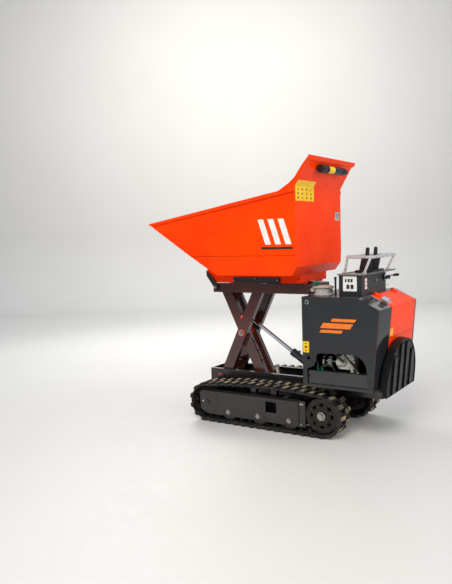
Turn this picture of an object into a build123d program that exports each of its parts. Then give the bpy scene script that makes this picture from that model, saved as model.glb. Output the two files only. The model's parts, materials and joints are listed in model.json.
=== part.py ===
"""Tracked high-tip mini dumper, modelled as an assembly of separate pieces.

Frame: +X is the machine's front, +Y its left side, +Z up. The origin is on the ground,
on the centreline, midway between the front lip of the skip and the folded rider step.
The rest pose is the scissor lift raised, the skip level and the rider step folded up.
All sizes are in millimetres.
"""

import math
import os

from build123d import *

os.makedirs("parts", exist_ok=True)

# ---- driving dimensions: tracks -------------------------------------------------------
TRACK_Y = 300.0  # centre of each track from the centreline
TRACK_WIDTH = 180.0
LINK_PITCH = 72.0
LINKS = 39
SPROCKET_TEETH = 12
LUG_TIP = 20.5  # neutral line to lug tip
BELT_OUT = 5.5  # neutral line to the belt's outer face
BELT_IN = 4.5  # neutral line to the belt's inner face
REAR_X = -492.0
TOP_RUN_RADIUS = 4500.0
SPROCKET_R = LINK_PITCH * SPROCKET_TEETH / (2 * math.pi)
TOOTH_TIP = SPROCKET_R - BELT_IN - 1.2  # teeth stop short of the belt, which stands still
IDLER_R = SPROCKET_R - 6.0
ROLLER_R = 68.0
ROLLER_XS = (285.0, 22.0, -238.0)
ROLLER_Z = LUG_TIP + BELT_IN + ROLLER_R + 1.0
SIDE_PLATE = 8.0

# ---- driving dimensions: chassis and scissor -------------------------------------------
RAIL_Y = (118.0, 150.0)
RAIL_Z = (272.0, 372.0)
RAIL_X = (-860.0, 590.0)
WALL = 6.0
LOW_PIVOT = (475.0, 316.0)
TOP_PIVOT = (475.0, 1020.0)
ARM_RUN = 166.0  # pivot to mid-arm, along X, at rest
ARM_HALF = math.hypot(ARM_RUN, (TOP_PIVOT[1] - LOW_PIVOT[1]) / 2)
MID_PIVOT = (LOW_PIVOT[0] - ARM_RUN, (TOP_PIVOT[1] + LOW_PIVOT[1]) / 2)
ARM_DEPTH = 85.0
ARM_WALL = 4.0
OUTER_ARM_Y = (75.5, 115.5)
INNER_ARM_Y = (34.5, 74.5)
PIN_R = 12.5
RUN = 0.05  # radial running clearance
LOW_SLIDE = (LOW_PIVOT[0] - 2 * ARM_RUN, LOW_PIVOT[1])
TOP_SLIDE = (TOP_PIVOT[0] - 2 * ARM_RUN, TOP_PIVOT[1])
UPPER_RAIL_Z = (994.0, 1068.0)
UPPER_RAIL_X = (-335.0, 540.0)

# ---- driving dimensions: cylinders -------------------------------------------------------
LIFT_BASE = (-380.0, 330.0)
LIFT_EYE = (312.0, 796.0)
LIFT_BARREL = 357.0
TIP_PIVOT = (505.0, 1035.0)
TIP_BASE = (-290.0, 1008.0)
TIP_EYE = (230.0, 1102.0)
TIP_BARREL = 362.0
LIFT_PISTON = 297.0  # rear face of the piston from the foot pin, raised
TIP_PISTON = 48.0  # the same for the tip cylinder, retracted

# ---- driving dimensions: skip -----------------------------------------------------------
SHEET = 4.0
SKIP_HALF = 392.0
SKIP_FLOOR_HALF = 374.0
SKIP_FLOOR_Z = 1145.0
SKIP_CREASE_Z = 1290.0
SKIP_LIP = (984.0, 1551.0)
SKIP_BOTTOM_FRONT = (352.0, SKIP_FLOOR_Z)
SKIP_BACK_X = -332.0
SKIP_FOLD_Z = 1775.0
SKIP_TOP_REAR = (-452.0, 1975.0)
RIM_DEEP = 28.0
RIM_OUT = 12.0
RIM_REAR_Z = 1763.0  # top of the side rims where they meet the back

# ---- driving dimensions: engine house ----------------------------------------------------
HOUSE_HALF = 390.0
PANEL = 4.0
HOUSE_FRONT_X = -368.0
DECK_Z = 1002.0
KINK_X = -777.0
FOLD = (-932.0, 925.0)
HOUSE_FOOT = (-881.0, 377.0)
COVER_Y = (-366.0, 155.0)
BREATHER = (-548.0, 215.0)  # breather pipe of the oil tank: X, Y
COVER_BOTTOM_Z = 708.0
BASE_Z = (372.0, 380.0)

# ---- driving dimensions: rider step -------------------------------------------------------
STEP_HINGE = (-904.0, 352.0)
STEP_HALF = 300.0
STEP_TOP_Z = 696.0
STEP_DEPTH = 40.0
STEP_LEAN = 5.4


def side(y):
    """Sketch plane facing the machine's right side: local x is X and local y is Z."""
    return Plane.XZ.offset(-y)


def save(piece, name):
    """Label one finished piece and write it under its node name."""
    piece.label = name
    export_step(piece, f"parts/{name}.step")
    print(name, len(piece.solids()), round(piece.volume / 1000), "cm3", flush=True)
    return piece


def slab(points, y0, y1, mode=Mode.ADD):
    """Add a polygon of side-view points, filling y0 to y1."""
    with BuildSketch(side(y1)) as outline:
        with BuildLine():
            Polyline(*points, close=True)
        make_face()
    extrude(outline.sketch, amount=y1 - y0, mode=mode)


def block(x, y, z, mode=Mode.ADD):
    """Add a box given its extents along each axis as (low, high) pairs."""
    centre = Vector((x[0] + x[1]) / 2, (y[0] + y[1]) / 2, (z[0] + z[1]) / 2)
    with Locations(centre):
        Box(x[1] - x[0], y[1] - y[0], z[1] - z[0], mode=mode)


def disc(centre, radius, y0, y1, mode=Mode.ADD):
    """Add a cylinder across the machine: centre is (X, Z)."""
    with BuildSketch(side(y1)) as outline:
        with Locations(centre):
            Circle(radius)
    extrude(outline.sketch, amount=y1 - y0, mode=mode)


def rod(start, end, radius, mode=Mode.ADD):
    """Add a round bar between two points."""
    low = Vector(start)
    span = Vector(end) - low
    with BuildSketch(Plane(origin=low, z_dir=span)) as outline:
        Circle(radius)
    extrude(outline.sketch, amount=span.length, mode=mode)


def hexagon(centre, across, y0, y1):
    """Add a hexagonal head or nut across the machine."""
    with BuildSketch(side(y1)) as outline:
        with Locations(centre):
            RegularPolygon(across / math.sqrt(3), 6)
    extrude(outline.sketch, amount=y1 - y0)


def both_sides():
    """Repeat everything built so far on the machine's other side."""
    mirror(about=Plane.XZ)


def save_mirrored(piece, name):
    """Write the opposite-hand copy of a piece."""
    with BuildPart() as twin:
        add(mirror(piece, about=Plane.XZ, mode=Mode.PRIVATE))
    return save(twin.part, name)


def along(start, end, distance, sideways=0.0):
    """Point at a distance from start towards end in side view, moved to the left of travel."""
    run = math.hypot(end[0] - start[0], end[1] - start[1])
    ux = (end[0] - start[0]) / run
    uz = (end[1] - start[1]) / run
    return (start[0] + ux * distance - uz * sideways, start[1] + uz * distance + ux * sideways)


# ---- track path: rear arc, arched top run, front arc, straight ground run -------------------
def top_run_centre(front_x):
    """Centre of the top run's arc, which touches both end arcs from outside."""
    rear = (REAR_X, LUG_TIP + SPROCKET_R)
    front = (front_x, LUG_TIP + IDLER_R)
    to_rear = TOP_RUN_RADIUS - SPROCKET_R
    to_front = TOP_RUN_RADIUS - IDLER_R
    gap = math.hypot(front[0] - rear[0], front[1] - rear[1])
    foot = (to_rear**2 - to_front**2 + gap**2) / (2 * gap)
    return along(rear, front, foot, -math.sqrt(to_rear**2 - foot**2))


def belt_shape(front_x):
    """Arc centres and the two tangent angles in degrees, for a given idler position."""
    rear = (REAR_X, LUG_TIP + SPROCKET_R)
    front = (front_x, LUG_TIP + IDLER_R)
    top = top_run_centre(front_x)
    rear_angle = math.degrees(math.atan2(rear[1] - top[1], rear[0] - top[0]))
    front_angle = math.degrees(math.atan2(front[1] - top[1], front[0] - top[0]))
    return rear, front, top, rear_angle, front_angle


def belt_parts(front_x):
    """Lengths of the belt's four stretches along its neutral line."""
    rear, front, top, rear_angle, front_angle = belt_shape(front_x)
    return (
        SPROCKET_R * math.radians(270 - rear_angle),
        TOP_RUN_RADIUS * math.radians(rear_angle - front_angle),
        IDLER_R * math.radians(front_angle + 90),
        front_x - REAR_X,
    )


def solve_idler():
    """Idler position at which the belt is exactly its links long."""
    low, high = 300.0, 700.0
    for _ in range(60):
        middle = (low + high) / 2
        if sum(belt_parts(middle)) < LINK_PITCH * LINKS:
            low = middle
        else:
            high = middle
    return low


FRONT_X = solve_idler()
REAR_C, FRONT_C, TOP_C, REAR_ANGLE, FRONT_ANGLE = belt_shape(FRONT_X)
STRETCHES = belt_parts(FRONT_X)


def belt_place(length, out):
    """Location on the belt at a length from the rear arc's foot, a distance out of the neutral line."""
    rear_run, top_run, front_run, ground_run = STRETCHES
    length = length % (LINK_PITCH * LINKS)
    if length < rear_run:
        centre, radius = REAR_C, SPROCKET_R
        angle = 270 - math.degrees(length / SPROCKET_R)
    elif length < rear_run + top_run:
        centre, radius = TOP_C, TOP_RUN_RADIUS
        angle = REAR_ANGLE - math.degrees((length - rear_run) / TOP_RUN_RADIUS)
    elif length < rear_run + top_run + front_run:
        centre, radius = FRONT_C, IDLER_R
        angle = FRONT_ANGLE - math.degrees((length - rear_run - top_run) / IDLER_R)
    else:
        x = FRONT_X - (length - rear_run - top_run - front_run)
        return Location((x, TRACK_Y, LUG_TIP - out), (0, 180, 0))
    x = centre[0] + (radius + out) * math.cos(math.radians(angle))
    z = centre[1] + (radius + out) * math.sin(math.radians(angle))
    return Location((x, TRACK_Y, z), (0, 90 - angle, 0))


def belt_outline(out):
    """Closed face of the belt path, moved out from the neutral line."""
    with BuildSketch(side(TRACK_Y)) as outline:
        with BuildLine():
            CenterArc(REAR_C, SPROCKET_R + out, REAR_ANGLE, 270 - REAR_ANGLE)
            CenterArc(TOP_C, TOP_RUN_RADIUS + out, FRONT_ANGLE, REAR_ANGLE - FRONT_ANGLE)
            CenterArc(FRONT_C, IDLER_R + out, -90, FRONT_ANGLE + 90)
            Line((REAR_X, LUG_TIP - out), (FRONT_X, LUG_TIP - out))
        make_face()
    return outline.sketch


def build_belt():
    """Rubber belt with staggered outer lugs, sprocket windows and paired inner guides."""
    links = [belt_place((k + 0.5) * LINK_PITCH, 0) for k in range(LINKS)]
    with BuildPart() as envelope:
        extrude(belt_outline(LUG_TIP), amount=TRACK_WIDTH / 2, both=True)
    with BuildPart() as track_belt_left:
        extrude(belt_outline(BELT_OUT), amount=TRACK_WIDTH / 2, both=True)
        extrude(belt_outline(-BELT_IN), amount=TRACK_WIDTH / 2, both=True, mode=Mode.SUBTRACT)
        for half, phase in ((1, 0.0), (-1, 0.5)):
            places = [belt_place((k + phase) * LINK_PITCH, 13.0) for k in range(LINKS)]
            with Locations(*[p * Location((0, half * 46.0, 0)) for p in places]):
                Box(38, 84, 20)
        add(envelope.part, mode=Mode.INTERSECT)
        with Locations(*links):
            Box(26, 44, 40, mode=Mode.SUBTRACT)
        for guide_y in (-29.5, 29.5):
            with Locations(*[p * Location((0, guide_y, -15.5)) for p in links]):
                Box(30, 9, 24)
    return save(track_belt_left.part, "track_belt_left")


def build_sprocket():
    """Drive sprocket with its pierced outer disc and hub nut."""
    with BuildPart() as drive_sprocket_left:
        disc(REAR_C, 118, 283, 317)
        with BuildSketch(side(318)) as tooth:
            with Locations(REAR_C):
                with PolarLocations(0, SPROCKET_TEETH, start_angle=-90 - 180 / SPROCKET_TEETH):
                    with Locations((TOOTH_TIP - 12, 0)):
                        Trapezoid(24, 24, 80, rotation=-90)
        extrude(tooth.sketch, amount=36)
        disc(REAR_C, 58, 262, 362)
        disc(REAR_C, 124, 352, 360)
        with BuildSketch(side(361)) as holes:
            with Locations(REAR_C):
                with PolarLocations(79, 8):
                    SlotOverall(32, 21, rotation=90)
        extrude(holes.sketch, amount=10, mode=Mode.SUBTRACT)
        disc(REAR_C, 26, 362, 368)
        hexagon(REAR_C, 36, 368, 384)
        disc(REAR_C, 17.5, 250, 345, Mode.SUBTRACT)
    save(drive_sprocket_left.part, "drive_sprocket_left")
    save_mirrored(drive_sprocket_left.part, "drive_sprocket_right")


def build_idler():
    """Front idler wheel, running between the belt's guides."""
    rim = IDLER_R - BELT_IN - 0.5
    with BuildPart() as idler_wheel_left:
        disc(FRONT_C, rim, 281, 319)
        disc(FRONT_C, rim - 14, 307, 319, Mode.SUBTRACT)
        disc(FRONT_C, rim - 14, 281, 293, Mode.SUBTRACT)
        disc(FRONT_C, 34, 262, 338)
        with BuildSketch(side(320)) as holes:
            with Locations(FRONT_C):
                with PolarLocations(74, 6):
                    Circle(15)
        extrude(holes.sketch, amount=40, mode=Mode.SUBTRACT)
        disc(FRONT_C, 15 + RUN, 250, 350, Mode.SUBTRACT)
    save(idler_wheel_left.part, "idler_wheel_left")
    save_mirrored(idler_wheel_left.part, "idler_wheel_right")


def build_roller(number, x):
    """Bottom roller with twin rims either side of the belt's guides."""
    centre = (x, ROLLER_Z)
    with BuildPart() as roller:
        disc(centre, 30, 246, 354)
        disc(centre, ROLLER_R, 338, 354)
        disc(centre, ROLLER_R, 246, 262)
        disc(centre, PIN_R + RUN, 240, 360, Mode.SUBTRACT)
        chamfer(roller.edges().filter_by(GeomType.CIRCLE).sort_by(SortBy.RADIUS)[-4:], 3)
    save(roller.part, f"track_roller_left_{number}")
    save_mirrored(roller.part, f"track_roller_right_{number}")


def build_track_frame():
    """Side frame of one track: two plates, spacers, window, top run skids and motor bracket."""
    outline = [(479, 62), (542, 92), (550, 214), (530, 240), (-306, 240), (-306, 61)]
    motor_outline = [(-300, 238), (-300, 42), (-430, 60), (-430, 256)]
    with BuildPart() as track_frame_left:
        slab(outline, 366, 366 + SIDE_PLATE)
        slab(outline, 226, 226 + SIDE_PLATE)
        slab(motor_outline, 226, 226 + SIDE_PLATE)
        with BuildSketch(Plane.YZ.offset(-306)) as lip:
            with BuildLine():
                Polyline((366, 230), (374, 230), (374, 240), (352, 253), (349, 247), (366, 237), close=True)
            make_face()
        extrude(lip.sketch, amount=836)
        disc(REAR_C, 96, 226, 226 + SIDE_PLATE)
        block((-134, -43), (360, 380), (135, 215), Mode.SUBTRACT)
        block((-366, -312), (358, 366), (60, 249))
        block((-316, -306), (234, 366), (61, 236))
        block((-316, -298), (360, 374), (61, 240))
        for x in (90, -86):
            block((x - 24, x + 24), (234, 366), (218, 226))
            reach = abs(x - TOP_C[0]) + 22
            under_belt = TOP_C[1] + math.sqrt((TOP_RUN_RADIUS - BELT_IN) ** 2 - reach**2) - 1
            block((x - 22, x + 22), (279, 321), (226, under_belt))
        block((-160, -150), (234, 366), (70, 226))
        block((300, 358), (234, 366), (200, 208))
        for x in ROLLER_XS:
            disc((x, ROLLER_Z), PIN_R + RUN, 220, 380, Mode.SUBTRACT)
        disc(FRONT_C, 15 + RUN, 220, 380, Mode.SUBTRACT)
        disc(REAR_C, 42, 220, 240, Mode.SUBTRACT)
    save(track_frame_left.part, "track_frame_left")
    save_mirrored(track_frame_left.part, "track_frame_right")


def build_track_axles():
    """Roller bolts and idler axles, clamped in the side frames of both tracks."""
    with BuildPart() as track_axles:
        for x in ROLLER_XS:
            disc((x, ROLLER_Z), PIN_R, 226, 374)
            disc((x, ROLLER_Z), 19, 374, 377)
            hexagon((x, ROLLER_Z), 27, 377, 386)
            hexagon((x, ROLLER_Z), 27, 216, 226)
        disc(FRONT_C, 15, 226, 374)
        disc(FRONT_C, 24, 374, 380)
        disc(FRONT_C, 24, 218, 226)
        both_sides()
    save(track_axles.part, "track_axles")


def build_drive_motors():
    """Hydraulic wheel motors, one bolted inside each track frame."""
    with BuildPart() as drive_motors:
        disc(REAR_C, 50, 128, 206)
        disc(REAR_C, 62, 206, 226)
        disc(REAR_C, 41.9, 226, 234)
        disc(REAR_C, 17.45, 234, 340)
        block((REAR_C[0] - 30, REAR_C[0] + 30), (134, 176), (REAR_C[1] + 30, REAR_C[1] + 74))
        both_sides()
    save(drive_motors.part, "drive_motors")


def build_chassis():
    """Welded chassis: two inward-facing channels, end plates, cross beams and cylinder foot."""
    low, high = RAIL_Z
    near, far = RAIL_Y
    with BuildPart() as chassis_frame:
        block(RAIL_X, (near, far), RAIL_Z)
        block(
            (RAIL_X[0] - 1, RAIL_X[1] + 1),
            (near - 1, far - WALL),
            (low + WALL, high - WALL),
            Mode.SUBTRACT,
        )
        block((RAIL_X[1] - WALL, RAIL_X[1]), (0, far), RAIL_Z)
        block((RAIL_X[0], RAIL_X[0] + WALL), (0, far), RAIL_Z)
        for x in (300, -190):
            block((x - 40, x + 40), (0, 226), (188, 248))
            block((x - 40, x + 40), (near, far), (248, low))
        block((-430, -418), (0, far - WALL), (280, 364))
        slab(
            [(-418, 286), (-418, 366), (-392, 366), (-352, 348), (-352, 312), (-372, 296)],
            30.0,
            40.0,
        )
        disc(LOW_PIVOT, PIN_R + RUN, 100, 160, Mode.SUBTRACT)
        disc(LIFT_BASE, PIN_R + RUN, 10, 60, Mode.SUBTRACT)
        slab([(-866, 300), (-866, 372), (-884, 372), (-922, 366), (-922, 338), (-892, 312)], 306, 316)
        block((-866, -860), (far - 1, 316), (300, 372))
        disc(STEP_HINGE, 8 + RUN, 300, 320, Mode.SUBTRACT)
        both_sides()
    save(chassis_frame.part, "chassis_frame")


def build_chassis_pins():
    """Fixed pins of the chassis: scissor foot pivot, lift cylinder foot and rider step hinge."""
    with BuildPart() as chassis_pins:
        disc(LOW_PIVOT, PIN_R, -150, 150)
        disc(LIFT_BASE, PIN_R, -40, 40)
        disc(STEP_HINGE, 8, -316, 316)
        for end in (1, -1):
            low, high = sorted((end * 150, end * 160))
            disc(LOW_PIVOT, 20, low, high)
            low, high = sorted((end * 40, end * 46))
            disc(LIFT_BASE, 18, low, high)
            low, high = sorted((end * 316, end * 326))
            hexagon(STEP_HINGE, 24, low, high)
    save(chassis_pins.part, "chassis_pins")


def arm_pair(foot, head, y_range):
    """Two rectangular-tube arms between side-view points, with solid bosses at both ends."""
    y0, y1 = y_range
    half = ARM_DEPTH / 2
    inner = half - ARM_WALL
    length = 2 * ARM_HALF
    outside = ((0, half), (length, half), (length, -half), (0, -half))
    hollow = ((10, inner), (length - 10, inner), (length - 10, -inner), (10, -inner))
    slab([along(foot, head, d, s) for d, s in outside], y0, y1)
    slab(
        [along(foot, head, d, s) for d, s in hollow],
        y0 + ARM_WALL,
        y1 - ARM_WALL,
        Mode.SUBTRACT,
    )
    for centre in (foot, head, MID_PIVOT):
        disc(centre, half if centre != MID_PIVOT else 30, y0, y1)
        disc(centre, PIN_R + RUN, y0 - 1, y1 + 1, Mode.SUBTRACT)
    weep = along(foot, head, 90)
    rod((weep[0], (y0 + y1) / 2, weep[1]), (weep[0], (y0 + y1) / 2, weep[1] - 80), 3, Mode.SUBTRACT)


def build_outer_arms():
    """Outer scissor arms: foot pivoted at the chassis front, head sliding in the upper frame."""
    with BuildPart() as outer_arms:
        arm_pair(LOW_PIVOT, TOP_SLIDE, OUTER_ARM_Y)
        disc(LOW_PIVOT, 22, 0, OUTER_ARM_Y[0])
        disc(LOW_PIVOT, PIN_R + RUN, 0, OUTER_ARM_Y[1], Mode.SUBTRACT)
        disc(along(LOW_PIVOT, TOP_SLIDE, 120), 18, 0, OUTER_ARM_Y[0])
        disc(TOP_SLIDE, PIN_R + 3, *OUTER_ARM_Y)
        disc(TOP_SLIDE, PIN_R, OUTER_ARM_Y[1], 141)
        both_sides()
    save(outer_arms.part, "scissor_outer_arms")


def build_inner_arms():
    """Inner scissor arms: head pivoted at the upper frame's front, foot sliding in the chassis."""
    y0, y1 = INNER_ARM_Y
    root = along(TOP_PIVOT, LOW_SLIDE, ARM_HALF - 90)
    with BuildPart() as inner_arms:
        arm_pair(LOW_SLIDE, TOP_PIVOT, INNER_ARM_Y)
        disc(TOP_PIVOT, 22, 0, y0)
        disc(TOP_PIVOT, 22, y1, 116)
        disc(TOP_PIVOT, PIN_R + RUN, 0, 117, Mode.SUBTRACT)
        disc(LOW_SLIDE, PIN_R + 3, y0, y1)
        disc(LOW_SLIDE, PIN_R, y1, 141)
        with BuildSketch(side(y0 + 10)) as lug:
            with Locations(LIFT_EYE):
                Circle(26)
            with BuildLine():
                Polyline(
                    along(LIFT_EYE, root, 0, 26),
                    along(LIFT_EYE, root, 60, 44),
                    along(LIFT_EYE, root, 60, -44),
                    along(LIFT_EYE, root, 0, -26),
                    close=True,
                )
            make_face()
        extrude(lug.sketch, amount=10)
        disc(LIFT_EYE, 16, y0 + 10, y0 + 18)
        both_sides()
    save(inner_arms.part, "scissor_inner_arms")


def build_centre_pins():
    """Centre bolts of the two arm pairs, with broad painted washers on both faces."""
    with BuildPart() as centre_pins:
        disc(MID_PIVOT, PIN_R, INNER_ARM_Y[0], OUTER_ARM_Y[1])
        disc(MID_PIVOT, 28, OUTER_ARM_Y[1], OUTER_ARM_Y[1] + 5)
        hexagon(MID_PIVOT, 30, OUTER_ARM_Y[1] + 5, OUTER_ARM_Y[1] + 15)
        disc(MID_PIVOT, 28, INNER_ARM_Y[0] - 4, INNER_ARM_Y[0])
        hexagon(MID_PIVOT, 30, INNER_ARM_Y[0] - 12, INNER_ARM_Y[0] - 4)
        both_sides()
    save(centre_pins.part, "scissor_centre_bolts")


def build_slide_blocks(name, pin, z_range):
    """Nylon blocks carrying a pair of arm ends inside the channels."""
    with BuildPart() as blocks:
        block((pin[0] - 30, pin[0] + 30), (120, 142), z_range)
        disc(pin, PIN_R + RUN, 110, 150, Mode.SUBTRACT)
        both_sides()
    save(blocks.part, name)


def build_upper_frame():
    """Frame carried by the scissor: two channels, cross members, tip hinge ears, cylinder foot."""
    low, high = UPPER_RAIL_Z
    near, far = RAIL_Y
    with BuildPart() as upper_frame:
        block(UPPER_RAIL_X, (near, far), UPPER_RAIL_Z)
        block(
            (UPPER_RAIL_X[0] - 1, UPPER_RAIL_X[1] - WALL),
            (near - 1, far - WALL),
            (low + WALL, high - WALL),
            Mode.SUBTRACT,
        )
        block((UPPER_RAIL_X[1] - WALL, UPPER_RAIL_X[1]), (0, far), (low, low + 20))
        block((UPPER_RAIL_X[0], UPPER_RAIL_X[0] + WALL), (0, far), UPPER_RAIL_Z)
        slab([(519, 1069), (541, 1069), (541, 1040)], near - 1, far + 1, Mode.SUBTRACT)
        slab([(519, 1068), (540, 1040), (540, 1032), (513, 1068)], near, far)
        slab([(-329, 996), (-329, 1060), (-282, 1030), (-270, 1008), (-282, 992)], 20.0, 30.0)
        disc(TIP_BASE, PIN_R + RUN, 10, 40, Mode.SUBTRACT)
        disc(TOP_PIVOT, PIN_R + RUN, 100, 160, Mode.SUBTRACT)
        disc(TIP_PIVOT, PIN_R + RUN, 100, 160, Mode.SUBTRACT)
        both_sides()
    save(upper_frame.part, "upper_frame")


def build_upper_pins():
    """Pins held by the upper frame: scissor head pivot, tip hinge pins, tip cylinder foot."""
    with BuildPart() as upper_pins:
        disc(TOP_PIVOT, PIN_R, -150, 150)
        disc(TIP_BASE, PIN_R, -30, 30)
        for end in (1, -1):
            low, high = sorted((end * 119, end * 163))
            disc(TIP_PIVOT, PIN_R, low, high)
            low, high = sorted((end * 163, end * 171))
            disc(TIP_PIVOT, 17, low, high)
            low, high = sorted((end * 30, end * 36))
            disc(TIP_BASE, 18, low, high)
    save(upper_pins.part, "upper_frame_pins")


def build_cylinder(barrel_name, rod_name, base, eye, barrel_length, barrel_r, rod_r, pin_y, piston):
    """Hydraulic cylinder at its rest length: barrel with foot eye and gland, rod with piston and eye."""
    eye_r = barrel_r - 2
    wall = 5.0

    def point(distance):
        x, z = along(base, eye, distance)
        return (x, 0, z)

    reach = math.hypot(eye[0] - base[0], eye[1] - base[1])
    foot = barrel_r + 6
    with BuildPart() as barrel:
        disc(base, eye_r, -18, 18)
        rod(point(12), point(foot + 14), barrel_r * 0.8)
        rod(point(foot), point(barrel_length), barrel_r)
        rod(point(barrel_length - 34), point(barrel_length), barrel_r + 3)
        rod(point(foot + 12), point(barrel_length - 22), barrel_r - wall, Mode.SUBTRACT)
        rod(point(barrel_length - 23), point(barrel_length + 1), rod_r + RUN, Mode.SUBTRACT)
        for port in (foot + 26, barrel_length - 48):
            x, z = along(base, eye, port)
            port_x, port_z = along(base, eye, port, barrel_r + 14)
            rod((x, 0, z), (port_x, 0, port_z), 9)
        rod(point(foot + 12), point(barrel_length - 22), barrel_r - wall, Mode.SUBTRACT)
        disc(base, PIN_R + RUN, -30, 30, Mode.SUBTRACT)
    save(barrel.part, barrel_name)
    with BuildPart() as ram:
        rod(point(piston + 4), point(reach), rod_r)
        rod(point(piston), point(piston + 28), barrel_r - wall - RUN)
        disc(eye, eye_r, -18, 18)
        disc(eye, PIN_R, -pin_y, pin_y)
    save(ram.part, rod_name)


# ---- skip -----------------------------------------------------------------------------------
def chute_z(x):
    """Height of the chute's underside at a given X."""
    rise = SKIP_LIP[1] - SKIP_BOTTOM_FRONT[1]
    return SKIP_BOTTOM_FRONT[1] + (x - SKIP_BOTTOM_FRONT[0]) * rise / (SKIP_LIP[0] - SKIP_BOTTOM_FRONT[0])


CHEEK = [(-200, 1742), (-246, 1768), (-294, 1796), (-335, 1832), (-399, 1917)]


def skip_profile(inset, top_lift):
    """Side view of the skip, moved in by the sheet, with the open top raised by top_lift."""
    rise = SKIP_LIP[1] - SKIP_BOTTOM_FRONT[1]
    lean = (SKIP_LIP[0] - SKIP_BOTTOM_FRONT[0]) / rise  # chute run per unit of height
    chute = inset * math.hypot(1.0, lean)
    back_lean = (SKIP_BACK_X - SKIP_TOP_REAR[0]) / (SKIP_TOP_REAR[1] - SKIP_FOLD_Z)
    back = inset * math.hypot(1.0, back_lean)
    lip = [(SKIP_LIP[0] - chute, SKIP_LIP[1])]
    if top_lift > 0:
        lip.append((SKIP_LIP[0] - chute + lean * top_lift, SKIP_LIP[1] + top_lift))
    return [
        (SKIP_BOTTOM_FRONT[0] - chute + lean * inset, SKIP_FLOOR_Z + inset),
        *lip,
        *[(x, z + top_lift) for x, z in CHEEK],
        (SKIP_TOP_REAR[0] + back - back_lean * top_lift, SKIP_TOP_REAR[1] + top_lift),
        (SKIP_BACK_X + inset, SKIP_FOLD_Z),
        (SKIP_BACK_X + inset, 1207),
        (-288 + inset * 0.6, SKIP_FLOOR_Z + inset),
    ]


def skip_solid(inset, top_lift):
    """Solid block with the skip's side view and tapered front view, inset by the sheet."""
    wide = SKIP_HALF - inset
    narrow = SKIP_FLOOR_HALF - inset
    with BuildPart() as solid:
        slab(skip_profile(inset, top_lift), -SKIP_HALF, SKIP_HALF)
        with BuildSketch(Plane.YZ.offset(-600)) as front:
            with BuildLine():
                Polyline(
                    (-narrow, SKIP_FLOOR_Z),
                    (-wide, SKIP_CREASE_Z),
                    (-wide, 2300),
                    (wide, 2300),
                    (wide, SKIP_CREASE_Z),
                    (narrow, SKIP_FLOOR_Z),
                    close=True,
                )
            make_face()
        extrude(front.sketch, amount=1800, mode=Mode.INTERSECT)
    return solid.part


def build_skip():
    """Open steel skip with folded rim, sloped chute, cheek plates and stiffened top edge."""
    outer = skip_solid(0.0, 0.0)
    hollow = skip_solid(SHEET, 60.0)
    rim = [SKIP_LIP, CHEEK[0], (SKIP_BACK_X, RIM_REAR_Z)]
    rim_low = [(x, z - RIM_DEEP) for x, z in reversed(rim[1:])]
    edge_low = [(x + 3, z - 9) for x, z in reversed([*CHEEK[1:], SKIP_TOP_REAR])]
    edge_low.append((CHEEK[0][0] - 15, CHEEK[0][1] - 6))
    lip_back = along(SKIP_LIP, SKIP_BOTTOM_FRONT, RIM_DEEP)
    with BuildPart() as skip_body:
        add(outer)
        add(hollow, mode=Mode.SUBTRACT)
        left_rim = (SKIP_HALF - SHEET, SKIP_HALF + RIM_OUT)
        right_rim = (-SKIP_HALF - RIM_OUT, SHEET - SKIP_HALF)
        for inner, outer_y in (left_rim, right_rim):
            slab([*rim, *rim_low, (SKIP_LIP[0] - 30, SKIP_LIP[1] - 18)], inner, outer_y)
            slab([*CHEEK, SKIP_TOP_REAR, *edge_low], max(inner, -SKIP_HALF - 4), min(outer_y, SKIP_HALF + 4))
        slab(
            [
                SKIP_LIP,
                lip_back,
                along(SKIP_LIP, SKIP_BOTTOM_FRONT, RIM_DEEP, -SHEET),
                (SKIP_LIP[0] - SHEET * 2, SKIP_LIP[1]),
            ],
            -SKIP_HALF,
            SKIP_HALF,
        )
        top = SKIP_TOP_REAR
        fold = (SKIP_BACK_X, SKIP_FOLD_Z)
        down = along(top, fold, 34)
        back = along(top, fold, 34, -8)
        slab([top, along(top, fold, 0, -8), back, down], -SKIP_HALF - RIM_OUT, SKIP_HALF + RIM_OUT)
    return save(skip_body.part, "skip_body")


def build_skip_subframe():
    """Frame under the skip: two rails, rear cross box, front gussets and tip cylinder lug."""
    with BuildPart() as skip_subframe:
        nose = [(560, chute_z(560)), (596, 1166), (590, 1120), (520, 1072)]
        slab([(-280, 1072), (-280, 1145), (352, 1145), *nose], 112, 150)
        hollow_nose = [(546, chute_z(546) - 6), (580, 1166), (574, 1124), (512, 1078)]
        slab([(-300, 1078), (-300, 1141), (352, 1141), *hollow_nose], 118, 144, Mode.SUBTRACT)
        block((-280, -222), (0, 216), (1084, 1145))
        block((-274, -228), (0, 210), (1090, 1139), Mode.SUBTRACT)
        block((-276, -226), (112, 150), (1084, 1145))
        block((360, 372), (0, 112), (1090, 1145))
        slab([(180, 1145), (280, 1145), (256, 1102), (244, 1080), (216, 1080), (204, 1102)], 22, 32)
        disc(TIP_EYE, 40, 32, 33, Mode.SUBTRACT)
        disc((-255, 1110), 6, 200, 220, Mode.SUBTRACT)
        both_sides()
    return save(skip_subframe.part, "skip_subframe")


def build_hinge_plates():
    """Black hinge plates and guard strips bolted to both sides of the skip's frame."""
    with BuildPart() as skip_hinge_plates:
        disc(TIP_PIVOT, 24, 152, 160)
        slab([(492, 1056), (560, 1130), (600, 1166), (596, 1122), (528, 1030)], 152, 160)
        disc(TIP_PIVOT, PIN_R + RUN, 150, 162, Mode.SUBTRACT)
        block((-75, 345), (152, 158), (1072, 1116))
        block((-60, 330), (158, 170), (1072, 1077))
        for x, z in ((330, 1092), (140, 1108), (-58, 1096)):
            hexagon((x, z), 17, 158, 166)
        both_sides()
    save(skip_hinge_plates.part, "skip_hinge_plates")


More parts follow.
